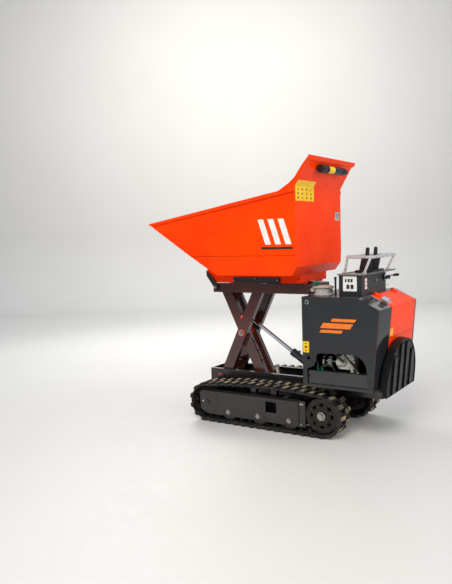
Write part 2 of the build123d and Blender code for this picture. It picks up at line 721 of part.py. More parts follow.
def build_document_tube():
    """Lidded plastic tube for papers, strapped across the skip's sloped top panel."""
    x, z = along(SKIP_TOP_REAR, (SKIP_BACK_X, SKIP_FOLD_Z), 76, -40)
    with BuildPart() as document_tube:
        disc((x, z), 26, -245, 195)
        disc((x, z), 29, 150, 205)
        disc((x, z), 22, -240, 190, Mode.SUBTRACT)
        for y in (-180, 110):
            foot = along(SKIP_TOP_REAR, (SKIP_BACK_X, SKIP_FOLD_Z), 76, -0.5)
            disc((x, z), 28, y, y + 18)
            slab(
                [
                    along(foot, (SKIP_BACK_X, SKIP_FOLD_Z), -22),
                    along(foot, (SKIP_BACK_X, SKIP_FOLD_Z), 22),
                    along(foot, (SKIP_BACK_X, SKIP_FOLD_Z), 22, -24),
                    along(foot, (SKIP_BACK_X, SKIP_FOLD_Z), -22, -24),
                ],
                y,
                y + 18,
            )
        disc((x, z), 22, -240, 190, Mode.SUBTRACT)
    save(document_tube.part, "document_tube")


# ---- engine house ------------------------------------------------------------------------------
HOUSE_OUTLINE = [(HOUSE_FRONT_X, 380), (HOUSE_FRONT_X, DECK_Z), (KINK_X, DECK_Z), FOLD, (-881, 380)]


def build_side_panels():
    """Side panels: the left with the pump arch, the right with cooling slots."""
    with BuildPart() as side_panel_left:
        slab(HOUSE_OUTLINE, HOUSE_HALF - PANEL, HOUSE_HALF)
        with BuildSketch(side(HOUSE_HALF + 1)) as arch:
            with BuildLine() as edge:
                Polyline((-842, 392), (-838, 521))
                ThreePointArc((-838, 521), (-806, 588), (-723, 617))
                Polyline((-723, 617), (-500, 612), (-476, 600), (-470, 560))
                Polyline((-470, 560), (-452, 520), (-402, 498), (-402, 392))
                Line((-402, 392), (-842, 392))
            make_face()
        extrude(arch.sketch, amount=10, mode=Mode.SUBTRACT)
        disc((-414, 573), 12, 380, 395, Mode.SUBTRACT)
    save(side_panel_left.part, "side_panel_left")
    with BuildPart() as side_panel_right:
        slab(HOUSE_OUTLINE, -HOUSE_HALF, -HOUSE_HALF + PANEL)
        with BuildSketch(side(-HOUSE_HALF + PANEL + 1)) as slots:
            for row in range(8):
                with Locations((-640, 640 + 34 * row)):
                    SlotOverall(260, 12)
        extrude(slots.sketch, amount=10, mode=Mode.SUBTRACT)
    save(side_panel_right.part, "side_panel_right")


def build_house_shell():
    """Bent sheet closing the house's front and top, with the filter opening."""
    half = HOUSE_HALF - PANEL
    with BuildPart() as house_shell:
        slab(
            [
                (HOUSE_FRONT_X, 380),
                (HOUSE_FRONT_X, DECK_Z),
                (KINK_X, DECK_Z),
                (KINK_X, DECK_Z - PANEL),
                (HOUSE_FRONT_X - PANEL, DECK_Z - PANEL),
                (HOUSE_FRONT_X - PANEL, 380),
            ],
            -half,
            half,
        )
        with Locations((-452, 200, DECK_Z - PANEL / 2)):
            Cylinder(62, 20, mode=Mode.SUBTRACT)
        with Locations((*BREATHER, DECK_Z - PANEL / 2)):
            Cylinder(10, 20, mode=Mode.SUBTRACT)
    save(house_shell.part, "house_shell")


def rear_point(z, inset=0.0):
    """X of the house's leaning rear face at a height, moved forward by inset."""
    share = (z - HOUSE_FOOT[1]) / (FOLD[1] - HOUSE_FOOT[1])
    return HOUSE_FOOT[0] + share * (FOLD[0] - HOUSE_FOOT[0]) + inset


def build_rear_panels():
    """Rear corner panel beside the cover, the fixed skirt below it and the far edge strip."""
    half = HOUSE_HALF - PANEL
    shell = [
        (KINK_X - 0.5, DECK_Z),
        FOLD,
        (rear_point(380), 380),
        (rear_point(380, PANEL), 380),
        (FOLD[0] + PANEL, FOLD[1] - 2.5),
        (KINK_X - 0.5, DECK_Z - PANEL - 1),
    ]
    with BuildPart() as rear_corner_panel:
        slab(shell, COVER_Y[1] + 1, half)
        slab(shell, -half, COVER_Y[0] - 1)
        block((rear_point(380), rear_point(380, PANEL)), (COVER_Y[0] - 1, COVER_Y[1] + 1), (380, 400))
    save(rear_corner_panel.part, "rear_corner_panel")
    top = COVER_BOTTOM_Z - 3
    with BuildPart() as rear_skirt:
        slab(
            [
                (rear_point(top), top),
                (rear_point(402), 402),
                (rear_point(402, 3), 402),
                (rear_point(top, 3), top),
            ],
            COVER_Y[0],
            COVER_Y[1],
        )
    save(rear_skirt.part, "rear_skirt")


COVER_HINGE = (KINK_X - 8.0, DECK_Z + 8.0)
COVER_FRONT = (KINK_X - 4.0, DECK_Z - 1.0)
COVER_FOLD = (FOLD[0] - 2.0, FOLD[1] + 2.0)


def cover_z(x):
    """Height of the cover's sloped outside at a given X."""
    slope = (COVER_FRONT[1] - COVER_FOLD[1]) / (COVER_FRONT[0] - COVER_FOLD[0])
    return COVER_FRONT[1] + slope * (x - COVER_FRONT[0])


def build_engine_cover():
    """Hinged rear cover: sloped top, leaning back and side returns."""
    outside = [
        COVER_FRONT,
        COVER_FOLD,
        (rear_point(COVER_BOTTOM_Z) - 2, COVER_BOTTOM_Z),
        (rear_point(COVER_BOTTOM_Z) + 26, COVER_BOTTOM_Z),
        (FOLD[0] + 26, FOLD[1] - 24),
        (COVER_FRONT[0], DECK_Z - 36),
    ]
    inside = [
        (COVER_FRONT[0] + 10, cover_z(COVER_FRONT[0] + 10) - 3.4),
        (FOLD[0] + 1.6, FOLD[1] - 1.2),
        (rear_point(COVER_BOTTOM_Z) + 1, COVER_BOTTOM_Z - 5),
        (rear_point(COVER_BOTTOM_Z) + 40, COVER_BOTTOM_Z - 5),
        (FOLD[0] + 40, FOLD[1] - 60),
        (COVER_FRONT[0] + 10, DECK_Z - 60),
    ]
    with BuildPart() as engine_cover:
        slab(outside, COVER_Y[0] + 2, COVER_Y[1] - 2)
        slab(inside, COVER_Y[0] + 5, COVER_Y[1] - 5, Mode.SUBTRACT)
        for y in (-300, 60):
            disc(COVER_HINGE, 7, y, y + 26)
            strap = (COVER_HINGE[0] - 38, cover_z(COVER_HINGE[0] - 38))
            root = (COVER_HINGE[0] - 12, cover_z(COVER_HINGE[0] - 12) - 2)
            top = (COVER_HINGE[0] - 3, DECK_Z + 13)
            slab([COVER_HINGE, top, (strap[0], strap[1] + 4), (strap[0], strap[1] - 2), root], y, y + 26)
            disc(COVER_HINGE, 4 + RUN, y - 1, y + 27, Mode.SUBTRACT)
    save(engine_cover.part, "engine_cover")


def build_house_base():
    """Base plate of the house on the chassis rails, with the low front box behind the arch."""
    half = HOUSE_HALF
    with BuildPart() as house_base:
        block((-880, HOUSE_FRONT_X), (-half, half), BASE_Z)
        block((-838, -406), (330, 378), (380, 484))
        block((-832, -412), (336, 372), (386, 490), Mode.SUBTRACT)
    save(house_base.part, "house_base")


def build_engine():
    """Air-cooled petrol engine: crankcase, finned cylinder, shroud and rocker cover."""
    with BuildPart() as engine_block:
        block((-700, -560), (-120, 60), (392, 560))
        block((-720, -540), (-140, 80), (380, 392))
        rod((-630, -30, 560), (-590, -30, 700), 62)
        for step in range(5):
            start = 584 + 22 * step
            shift = (start - 560) * 40 / 140
            with Locations((-630 + shift, -30, start)):
                Box(160, 160, 7)
        block((-650, -540), (-85, 25), (700, 742))
        with BuildSketch(Plane.XZ.offset(150)) as shroud:
            with Locations((-628, 520)):
                Circle(112)
        extrude(shroud.sketch, amount=40)
        rod((-628, -160, 520), (-628, -60, 520), 40)
        rod((-628, -195, 520), (-628, -149, 520), 100, Mode.SUBTRACT)
        rod((-628, -150, 520), (-628, -145, 520), 108)
    save(engine_block.part, "engine_block")
    with BuildPart() as muffler:
        block((-560, -430), (-140, 20), (770, 860))
        rod((-495, -60, 742), (-495, -60, 775), 18)
        rod((-495, -100, 815), (-495, -200, 815), 14)
        fillet(muffler.edges().filter_by(Axis.Y), 8)
    save(muffler.part, "exhaust_muffler")


def build_hydraulics():
    """Oil tank, return filter on the deck, gear pump, its drive shaft and the hose set."""
    with BuildPart() as hydraulic_tank:
        block((-560, -385), (70, 330), (640, 900))
        block((-554, -391), (76, 324), (646, 894), Mode.SUBTRACT)
        with Locations((-452, 200, 949)):
            Cylinder(58, 98)
        with Locations((-452, 200, 945)):
            Cylinder(52, 108, mode=Mode.SUBTRACT)
        rod((*BREATHER, 896), (*BREATHER, 1112), 7)
        rod((*BREATHER, 1112), (*BREATHER, 1130), 9)
    save(hydraulic_tank.part, "hydraulic_tank")
    with BuildPart() as return_filter:
        with Locations((-452, 200, 1005)):
            Cylinder(74, 6)
        with Locations((-452, 200, 1030)):
            Cylinder(62, 46)
        with Locations((-452, 200, 1055)):
            Cylinder(72, 10)
        with Locations((-452, 200, 1063)):
            Cylinder(44, 8)
        with Locations((-452, 200, 1067)):
            with PolarLocations(64, 6):
                Cylinder(5, 14)
        rod((-452, 214, 1034), (-364, 214, 1034), 15)
    save(return_filter.part, "return_filter")
    with BuildPart() as hydraulic_pump:
        block((-700, -610), (270, 326), (500, 590))
        rod((-655, 300, 545), (-600, 300, 545), 38)
        rod((-600, 300, 545), (-590, 300, 545), 24)
        rod((-700, 300, 545), (-712, 300, 545), 30)
        rod((-655, 326, 560), (-655, 344, 560), 13)
        block((-720, -700), (240, 330), (380, 600))
        block((-700, -640), (250, 330), (590, 650))
        rod((-670, 330, 620), (-670, 350, 620), 14)
        rod((-720, 300, 545), (-580, 300, 545), 9 + RUN, Mode.SUBTRACT)
    save(hydraulic_pump.part, "hydraulic_pump")
    with BuildPart() as pump_shaft:
        rod((-700, 300, 545), (-500, 300, 545), 9)
        rod((-560, 300, 545), (-524, 300, 545), 26)
        rod((-510, 300, 545), (-496, 300, 545), 40)
    save(pump_shaft.part, "pump_drive_shaft")


def hose(points, radius):
    """Add one hose along a smooth curve through points."""
    with BuildLine() as path:
        Spline(*points)
    with BuildSketch(Plane(origin=points[0], z_dir=path.line % 0)) as section:
        Circle(radius)
    sweep(section.sketch, path=path.line)


def build_hoses():
    """Hydraulic hoses between tank, pump, valve, motors and cylinders, fixed to the chassis."""
    with BuildPart() as hydraulic_hoses:
        pump_end = [(-655, 347, 560), (-655, 356, 562), (-640, 366, 580), (-600, 370, 620)]
        hose([*pump_end, (-558, 364, 652), (-548, 350, 662), (-548, 334, 664)], 8)
        tank_end = [(-520, 250, 635), (-520, 251, 625), (-540, 268, 617)]
        hose([*tank_end, (-590, 290, 620), (-620, 290, 620), (-636, 290, 620)], 8)
        console_end = [(-359, 214, 1034), (-348, 214, 1030), (-344, 214, 1010)]
        hose([*console_end, (-344, 214, 860), (-344, 214, 640), (-352, 214, 560)], 8)
        valve_end = [(-670, 354, 620), (-670, 363, 617), (-684, 370, 600)]
        hose([*valve_end, (-730, 366, 545), (-758, 356, 505), (-764, 354, 490)], 7)
    save(hydraulic_hoses.part, "hydraulic_hoses")


# ---- controls ------------------------------------------------------------------------------------
CONSOLE_X = (-765.0, -598.0)
CONSOLE_Y = (-200.0, 270.0)
CONSOLE_TOP = 1146.0


def build_console():
    """Control console on the deck, its top plate, the tubular guard and the lever bank."""
    with BuildPart() as console_box:
        block(CONSOLE_X, CONSOLE_Y, (DECK_Z, CONSOLE_TOP))
        block(
            (CONSOLE_X[0] + 3, CONSOLE_X[1] - 3),
            (CONSOLE_Y[0] + 3, CONSOLE_Y[1] - 3),
            (DECK_Z - 1, CONSOLE_TOP - 3),
            Mode.SUBTRACT,
        )
        block((-740, -690), (-262, CONSOLE_Y[0]), (1052, 1120))
    save(console_box.part, "console_box")
    with BuildPart() as console_top:
        block((-790, -592), (-340, 285), (CONSOLE_TOP, CONSOLE_TOP + 10))
        block((-770, -612), (-180, 262), (CONSOLE_TOP + 5, CONSOLE_TOP + 11), Mode.SUBTRACT)
    save(console_top.part, "console_top")


HOOP_Z = 1268.0
HOOP = [(-630, -200), (-630, 200), (-830, 250), (-830, -250)]


def build_guard():
    """Closed loop of bent tube above the console on four leaning legs."""
    with BuildPart() as guard_hoop:
        with BuildLine(Plane.XY.offset(HOOP_Z)) as loop:
            FilletPolyline(*HOOP, radius=30, close=True)
        with BuildSketch(Plane(origin=loop.line @ 0, z_dir=loop.line % 0)):
            Circle(10.5)
        sweep(path=loop.line)
        for side_sign in (1, -1):
            for x, y, head_x, head_y in ((-612, 200, -640, 206), (-768, 230, -818, 240)):
                rod((x, side_sign * y, CONSOLE_TOP + 14), (head_x, side_sign * head_y, HOOP_Z), 9)
                with Locations((x, side_sign * y, CONSOLE_TOP + 13.5)):
                    Cylinder(17, 7)
    save(guard_hoop.part, "guard_hoop")


LEVER_YS = {"travel_lever_left": 40.0, "travel_lever_right": -120.0}
VALVE_LEVER_YS = {"lift_lever": -10.0, "tip_lever": -60.0}
LEVER_X = -700.0
LEVER_Z = 1180.0


def build_levers():
    """Lever bank with four pivoted levers, plus the throttle lever."""
    with BuildPart() as lever_bank:
        block((-770, -640), (-150, 80), (CONSOLE_TOP + 5, 1168))
        for y in (*LEVER_YS.values(), *VALVE_LEVER_YS.values()):
            for cheek in (y - 17, y + 11):
                block((-716, -684), (cheek, cheek + 6), (1168, 1194))
            disc((LEVER_X, LEVER_Z), 4, y - 17, y + 17)
    save(lever_bank.part, "lever_bank")
    for name, y in LEVER_YS.items():
        with BuildPart() as lever:
            disc((LEVER_X, LEVER_Z), 10, y - 10, y + 10)
            rod((LEVER_X, y, LEVER_Z), (LEVER_X - 16, y, 1255), 6)
            rod((LEVER_X - 16, y, 1250), (LEVER_X - 22, y, 1328), 11.5)
            disc((LEVER_X, LEVER_Z), 4 + RUN, y - 11, y + 11, Mode.SUBTRACT)
        save(lever.part, name)
    for name, y in VALVE_LEVER_YS.items():
        with BuildPart() as lever:
            disc((LEVER_X, LEVER_Z), 10, y - 10, y + 10)
            rod((LEVER_X, y, LEVER_Z), (LEVER_X - 10, y, 1225), 5)
            with Locations((LEVER_X - 11, y, 1234)):
                Sphere(14)
            disc((LEVER_X, LEVER_Z), 4 + RUN, y - 11, y + 11, Mode.SUBTRACT)
        save(lever.part, name)
    with BuildPart() as throttle_lever:
        disc((-715, 1100), 14, -276, -262.5)
        rod((-715, -270, 1100), (-800, -290, 1112), 5)
        rod((-795, -289, 1111), (-832, -298, 1116), 9)
    save(throttle_lever.part, "throttle_lever")


# ---- rider step ------------------------------------------------------------------------------------
def step_outline(inset):
    """Arched outline in front view, moved in from its edge."""
    radius = STEP_HALF - inset
    spring = STEP_TOP_Z - STEP_HALF
    with BuildSketch(Plane.YZ.offset(STEP_HINGE[0])) as outline:
        with BuildLine():
            Line((-radius, 322 + inset), (radius, 322 + inset))
            Line((radius, 322 + inset), (radius, spring))
            CenterArc((0, spring), radius, 0, 180)
            Line((-radius, spring), (-radius, 322 + inset))
        make_face()
    return outline.sketch


def build_step():
    """Folding rider step: arched tray with a deep rim, ribs, grip studs and hinge lugs."""
    with BuildPart() as upright:
        extrude(step_outline(0), amount=10)
        extrude(step_outline(0), amount=-STEP_DEPTH)
        extrude(step_outline(5), amount=11, mode=Mode.SUBTRACT)
        extrude(step_outline(5), amount=-STEP_DEPTH + 10, mode=Mode.SUBTRACT)
        extrude(step_outline(5).moved(Location((-STEP_DEPTH + 5, 0, 0))), amount=-10, mode=Mode.SUBTRACT)
        face_x = STEP_HINGE[0] - STEP_DEPTH
        for y in (-180, -60, 60, 180):
            top = STEP_TOP_Z - STEP_HALF + math.sqrt((STEP_HALF - 8) ** 2 - (abs(y) + 28) ** 2) - 10
            block((face_x - 8, face_x + 6), (y - 28, y + 28), (330, top))
        with Locations(*[(face_x + 3, y, 380 + 38 * row) for y in (-120, 0, 120) for row in range(6)]):
            Cylinder(6, 12, rotation=(0, 90, 0))
        for y in (-250, 250):
            disc(STEP_HINGE, 16, y - 20, y + 20)
            block((STEP_HINGE[0] - 20, STEP_HINGE[0] + 6), (y - 20, y + 20), (324, 350))
        disc(STEP_HINGE, 8 + RUN, -320, 320, Mode.SUBTRACT)
    with BuildPart() as rider_step:
        add(upright.part.rotate(Axis((STEP_HINGE[0], 0, STEP_HINGE[1]), (0, -1, 0)), STEP_LEAN))
    save(rider_step.part, "rider_step")


def build_latch():
    """Over-centre latch on the cover's slope: base lugs with their pin, and the lever."""
    axis_y, axis_z = 130.0, 969.2
    with BuildPart() as latch_base:
        for x in (-912.0, -861.0):
            slab([(x, cover_z(x)), (x + 6, cover_z(x + 6)), (x + 6, 979), (x, 979)], 112, 144)
        rod((-912, axis_y, axis_z), (-855, axis_y, axis_z), 3.5)
    save(latch_base.part, "latch_base")
    with BuildPart() as latch_lever:
        block((-904, -863), (axis_y, 192), (axis_z - 2, axis_z + 3))
        rod((-904, axis_y, axis_z), (-863, axis_y, axis_z), 7)
        block((-904, -863), (186, 192), (axis_z - 2, axis_z + 14))
        rod((-914, axis_y, axis_z), (-850, axis_y, axis_z), 3.5 + RUN, Mode.SUBTRACT)
    save(latch_lever.part, "latch_lever")


def build_hardware():
    """Panel bolts, lifting eye and cover hinge pins."""
    with BuildPart() as panel_hardware:
        for x, z in ((-400, 440), (-860, 440), (-395, 860), (-760, 970)):
            disc((x, z), 11, 390, 392)
            hexagon((x, z), 13, 392, 398)
        disc((-409, 966), 15, 390, 395)
        disc((-409, 966), 8, 389, 396, Mode.SUBTRACT)
        hexagon((-409, 966), 11, 390, 393)
        for y in (-306, 54):
            disc(COVER_HINGE, 4, y, y + 38)
    save(panel_hardware.part, "panel_hardware")


build_belt_left = build_belt()
save_mirrored(build_belt_left, "track_belt_right")
build_sprocket()
build_idler()
for number, roller_x in enumerate(ROLLER_XS, 1):
    build_roller(number, roller_x)
build_track_frame()
build_track_axles()
build_drive_motors()
build_chassis()
build_chassis_pins()
build_outer_arms()
build_inner_arms()
build_centre_pins()
build_slide_blocks("lower_slide_blocks", LOW_SLIDE, (279.5, 364.5))
build_slide_blocks("upper_slide_blocks", TOP_SLIDE, (1001.5, 1060.5))
build_upper_frame()
build_upper_pins()
build_cylinder("lift_barrel", "lift_rod", LIFT_BASE, LIFT_EYE, LIFT_BARREL, 28.0, 15.0, 33.0, LIFT_PISTON)
build_cylinder("tip_barrel", "tip_rod", TIP_BASE, TIP_EYE, TIP_BARREL, 24.0, 13.0, 20.0, TIP_PISTON)
build_skip()
build_skip_subframe()
build_hinge_plates()
build_document_tube()
build_side_panels()
build_house_shell()
build_rear_panels()
build_engine_cover()
build_house_base()
build_engine()
build_hydraulics()
build_hoses()
build_console()
build_guard()
build_levers()
build_step()
build_latch()
build_hardware()
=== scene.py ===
"""Looks of a tracked high-tip mini dumper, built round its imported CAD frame.

Every place comes from the frame: node boxes, joint positions, or offsets from those. All sizes
are in metres. +X is the machine's front, +Y its left side and +Z is up.
"""

import json
import math
import random

import bmesh
import bpy
from mathutils import Matrix, Vector


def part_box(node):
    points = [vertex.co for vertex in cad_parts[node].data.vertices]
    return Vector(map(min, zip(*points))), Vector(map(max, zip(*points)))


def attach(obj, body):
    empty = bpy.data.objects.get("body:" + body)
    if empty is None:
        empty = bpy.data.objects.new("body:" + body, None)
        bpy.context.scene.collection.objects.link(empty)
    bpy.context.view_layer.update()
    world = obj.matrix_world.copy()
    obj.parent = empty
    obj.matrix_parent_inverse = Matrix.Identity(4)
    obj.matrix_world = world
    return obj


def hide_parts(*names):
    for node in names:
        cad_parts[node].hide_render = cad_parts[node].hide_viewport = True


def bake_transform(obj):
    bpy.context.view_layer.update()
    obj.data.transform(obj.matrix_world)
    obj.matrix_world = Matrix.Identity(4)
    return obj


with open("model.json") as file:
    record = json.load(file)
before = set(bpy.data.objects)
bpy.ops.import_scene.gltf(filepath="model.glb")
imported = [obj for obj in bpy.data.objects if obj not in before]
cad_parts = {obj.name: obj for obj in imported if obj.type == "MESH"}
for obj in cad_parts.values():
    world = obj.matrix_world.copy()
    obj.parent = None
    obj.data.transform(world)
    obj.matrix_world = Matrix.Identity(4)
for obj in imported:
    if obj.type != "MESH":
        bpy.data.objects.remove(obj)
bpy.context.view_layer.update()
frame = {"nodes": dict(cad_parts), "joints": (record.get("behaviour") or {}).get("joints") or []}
NODES = frame["nodes"]
PIVOTS = {j["name"]: Vector(j["pos_m"]) for j in frame["joints"] if "pos_m" in j}
DICE = random.Random(7)
SMOOTH_ANGLE = math.radians(38)


# ---- mesh helpers --------------------------------------------------------------------------------
def add_piece(name, bm, material, body, extra=()):
    """Turn a bmesh into a shaded object that rides on a CAD body."""
    bmesh.ops.recalc_face_normals(bm, faces=bm.faces)
    mesh = bpy.data.meshes.new(name)
    bm.to_mesh(mesh)
    bm.free()
    mesh.shade_smooth()
    mesh.set_sharp_from_angle(angle=SMOOTH_ANGLE)
    mesh.materials.append(material)
    for other in extra:
        mesh.materials.append(other)
    piece = bpy.data.objects.new(name, mesh)
    bpy.context.scene.collection.objects.link(piece)
    if body:
        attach(piece, body)
    return piece


def bevel_new(bm, verts, width, segments=2):
    """Round the sharp edges of newly made vertices."""
    if width <= 0:
        return
    chosen = set(verts)
    edges = [
        e
        for e in bm.edges
        if e.verts[0] in chosen and e.verts[1] in chosen
        and len(e.link_faces) == 2 and e.calc_face_angle(0) > 0.5
    ]
    bmesh.ops.bevel(
        bm, geom=edges, offset=width, segments=segments, affect="EDGES",
        profile=0.5, clamp_overlap=True)


def add_box(bm, low, high, bevel=0.001, matrix=None):
    """Box between two corners with rounded edges."""
    low, high = Vector(low), Vector(high)
    made = bmesh.ops.create_cube(bm, size=1.0)["verts"]
    size = high - low
    for v in made:
        v.co = Vector((v.co.x * size.x, v.co.y * size.y, v.co.z * size.z)) + (low + high) / 2
        if matrix:
            v.co = matrix @ v.co
    bevel_new(bm, made, bevel)


def add_prism(bm, outline, start, end, bevel=0.0, axis="y"):
    """Solid between two planes across an axis, from a closed outline in the two other axes."""
    place = {
        "y": lambda a, b, t: (a, t, b),
        "x": lambda a, b, t: (t, a, b),
        "z": lambda a, b, t: (a, b, t),
    }[axis]
    first = [bm.verts.new(place(a, b, start)) for a, b in outline]
    second = [bm.verts.new(place(a, b, end)) for a, b in outline]
    bm.faces.new(first)
    bm.faces.new(list(reversed(second)))
    count = len(outline)
    for i in range(count):
        bm.faces.new((first[i], first[(i + 1) % count], second[(i + 1) % count], second[i]))
    bevel_new(bm, first + second, bevel)


def basis_along(direction):
    """Rotation that takes +Z to a direction."""
    return Vector(direction).to_track_quat("Z", "Y").to_matrix().to_4x4()


def axes_matrix(x, y, z, origin):
    """Placement with the given local axes and origin."""
    matrix = Matrix((x, y, z)).transposed().to_4x4()
    matrix.translation = origin
    return matrix


def circle(radius, count):
    """Corners of a regular ring as (u, v) pairs."""
    turns = [2 * math.pi * k / count for k in range(count)]
    return [(radius * math.cos(turn), radius * math.sin(turn)) for turn in turns]


def add_skin(bm, rings, capped=True):
    """Faces between neighbouring rings of vertices, closed at both ends if capped."""
    for lower, upper in zip(rings, rings[1:]):
        count = len(lower)
        for k in range(count):
            m = (k + 1) % count
            bm.faces.new((lower[k], lower[m], upper[m], upper[k]))
    if capped:
        bm.faces.new(rings[0])
        bm.faces.new(rings[-1])


def add_lathe(bm, profile, origin, direction, segments=32):
    """Turned solid from (radius, height) pairs, along a direction from an origin."""
    matrix = Matrix.Translation(Vector(origin)) @ basis_along(direction)
    rings = []
    for radius, height in profile:
        if radius < 1e-6:
            rings.append([bm.verts.new(matrix @ Vector((0, 0, height)))])
            continue
        rings.append([bm.verts.new(matrix @ Vector((x, y, height))) for x, y in circle(radius, segments)])
    for lower, upper in zip(rings, rings[1:]):
        if len(lower) == 1 and len(upper) == 1:
            continue
        for k in range(segments):
            m = (k + 1) % segments
            if len(lower) == 1:
                bm.faces.new((lower[0], upper[m], upper[k]))
            elif len(upper) == 1:
                bm.faces.new((lower[k], lower[m], upper[0]))
            else:
                bm.faces.new((lower[k], lower[m], upper[m], upper[k]))
    for ring in (rings[0], rings[-1]):
        if len(ring) > 1:
            bm.faces.new(ring)


def add_bolt(bm, point, normal, across=0.013, washer=True):
    """Hex bolt head with a chamfered crown, standing on its washer."""
    r = across / math.sqrt(3)
    height = across * 0.58
    base = 0.0
    if washer:
        add_lathe(bm, [(r * 1.5, 0), (r * 1.5, across * 0.12), (r * 1.1, across * 0.14)], point, normal, 24)
        base = across * 0.12
    profile = [(r, base), (r, base + height * 0.82), (r * 0.84, base + height), (0, base + height)]
    add_lathe(bm, profile, point, normal, 6)


def smooth_path(points, steps=8):
    """Points of a Catmull-Rom curve through the given ones."""
    pts = [Vector(p) for p in points]
    pts = [2 * pts[0] - pts[1], *pts, 2 * pts[-1] - pts[-2]]
    out = []
    for a, b, c, d in zip(pts, pts[1:], pts[2:], pts[3:]):
        for k in range(steps):
            t = k / steps
            square, cube = 2 * a - 5 * b + 4 * c - d, 3 * b - a - 3 * c + d
            out.append(0.5 * (2 * b + (c - a) * t + square * t * t + cube * t * t * t))
    out.append(pts[-2])
    return out


def add_tube(bm, points, radius, segments=14, steps=8):
    """Round tube along a smooth path, closed at both ends."""
    path = smooth_path(points, steps) if steps else [Vector(p) for p in points]
    up = Vector((0.13, 0.27, 0.95))
    rings = []
    for i, p in enumerate(path):
        ahead = path[min(i + 1, len(path) - 1)] - path[max(i - 1, 0)]
        ahead.normalize()
        across = ahead.cross(up).normalized()
        up = across.cross(ahead).normalized()
        spokes = [across * u + up * v for u, v in circle(1.0, segments)]
        rings.append([bm.verts.new(p + spoke * radius) for spoke in spokes])
    add_skin(bm, rings)


def add_weld(bm, start, end, radius=0.0026):
    """Rippled weld bead along a seam."""
    start, end = Vector(start), Vector(end)
    run = (end - start).length
    direction = (end - start).normalized()
    matrix = basis_along(direction)
    count = max(2, int(run / 0.006))
    rings = []
    for i in range(count * 2 + 1):
        bead = radius * (1.0 if i % 2 else 0.72) * (0.95 + 0.1 * DICE.random())
        centre = start + direction * (run * i / (count * 2))
        rings.append([bm.verts.new(centre + matrix @ Vector((x, y, 0))) for x, y in circle(bead, 8)])
    add_skin(bm, rings)


# ---- materials ---------------------------------------------------------------------------------
def rgb(code):
    """Linear colour of a hex code."""
    values = [int(code[i : i + 2], 16) / 255 for i in (0, 2, 4)]
    return tuple(v / 12.92 if v <= 0.04045 else ((v + 0.055) / 1.055) ** 2.4 for v in values) + (1.0,)


class Shader:
    """Small builder for one node material."""

    def __init__(self, name):
        self.material = bpy.data.materials.new(name)
        self.material.use_nodes = True
        self.tree = self.material.node_tree
        self.surface = self.tree.nodes["Principled BSDF"]
        self.coords = self.node("ShaderNodeTexCoord").outputs["Object"]

    def node(self, kind, inputs=None, **settings):
        made = self.tree.nodes.new(kind)
        for key, value in settings.items():
            setattr(made, key, value)
        for key, value in (inputs or {}).items():
            self.feed(made.inputs[key], value)
        return made

    def feed(self, socket, value):
        if isinstance(value, bpy.types.NodeSocket):
            self.tree.links.new(value, socket)
        else:
            socket.default_value = value

    def noise(self, scale, detail=4.0, roughness=0.55, coords=None):
        inputs = {"Vector": coords or self.coords, "Scale": scale, "Detail": detail, "Roughness": roughness}
        return self.node("ShaderNodeTexNoise", inputs).outputs["Fac"]

    def stretch(self, scale):
        return self.node("ShaderNodeMapping", {"Vector": self.coords, "Scale": scale}).outputs["Vector"]

    def span(self, value, low, high, out_low=0.0, out_high=1.0):
        inputs = {"Value": value, "From Min": low, "From Max": high, "To Min": out_low, "To Max": out_high}
        return self.node("ShaderNodeMapRange", inputs).outputs["Result"]

    def maths(self, operation, a, b=0.5):
        return self.node("ShaderNodeMath", {0: a, 1: b}, operation=operation, use_clamp=True).outputs[0]

    def mix(self, share, a, b):
        made = self.node("ShaderNodeMix", {"Factor": share}, data_type="RGBA")
        self.feed(made.inputs[6], a)
        self.feed(made.inputs[7], b)
        return made.outputs[2]

    def axis(self, name):
        return self.node("ShaderNodeSeparateXYZ", {"Vector": self.coords}).outputs[name]

    def edge_wear(self):
        """1 on convex and concave edges, 0 on flat faces."""
        rounded = self.node("ShaderNodeBevel", {"Radius": 0.003}, samples=4).outputs["Normal"]
        true = self.node("ShaderNodeNewGeometry").outputs["Normal"]
        dot = self.node("ShaderNodeVectorMath", {0: rounded, 1: true}, operation="DOT_PRODUCT").outputs["Value"]
        return self.span(dot, 0.995, 0.80)

    def facing_up(self):
        normal = self.node("ShaderNodeNewGeometry").outputs["Normal"]
        return self.node("ShaderNodeSeparateXYZ", {"Vector": normal}).outputs["Z"]

    def finish(self, color, roughness, bump=None, bump_depth=0.001, bevel=0.0, **values):
        self.feed(self.surface.inputs["Base Color"], color)
        self.feed(self.surface.inputs["Roughness"], roughness)
        for key, value in values.items():
            self.feed(self.surface.inputs[key.replace("_", " ").title().replace("Ior", "IOR")], value)
        normal = None
        if bevel:
            normal = self.node("ShaderNodeBevel", {"Radius": bevel}, samples=4).outputs["Normal"]
        if bump is not None:
            made = self.node("ShaderNodeBump", {"Height": bump, "Distance": bump_depth, "Strength": 1.0})
            if normal is not None:
                self.feed(made.inputs["Normal"], normal)
            normal = made.outputs["Normal"]
        if normal is not None:
            self.feed(self.surface.inputs["Normal"], normal)
        return self.material


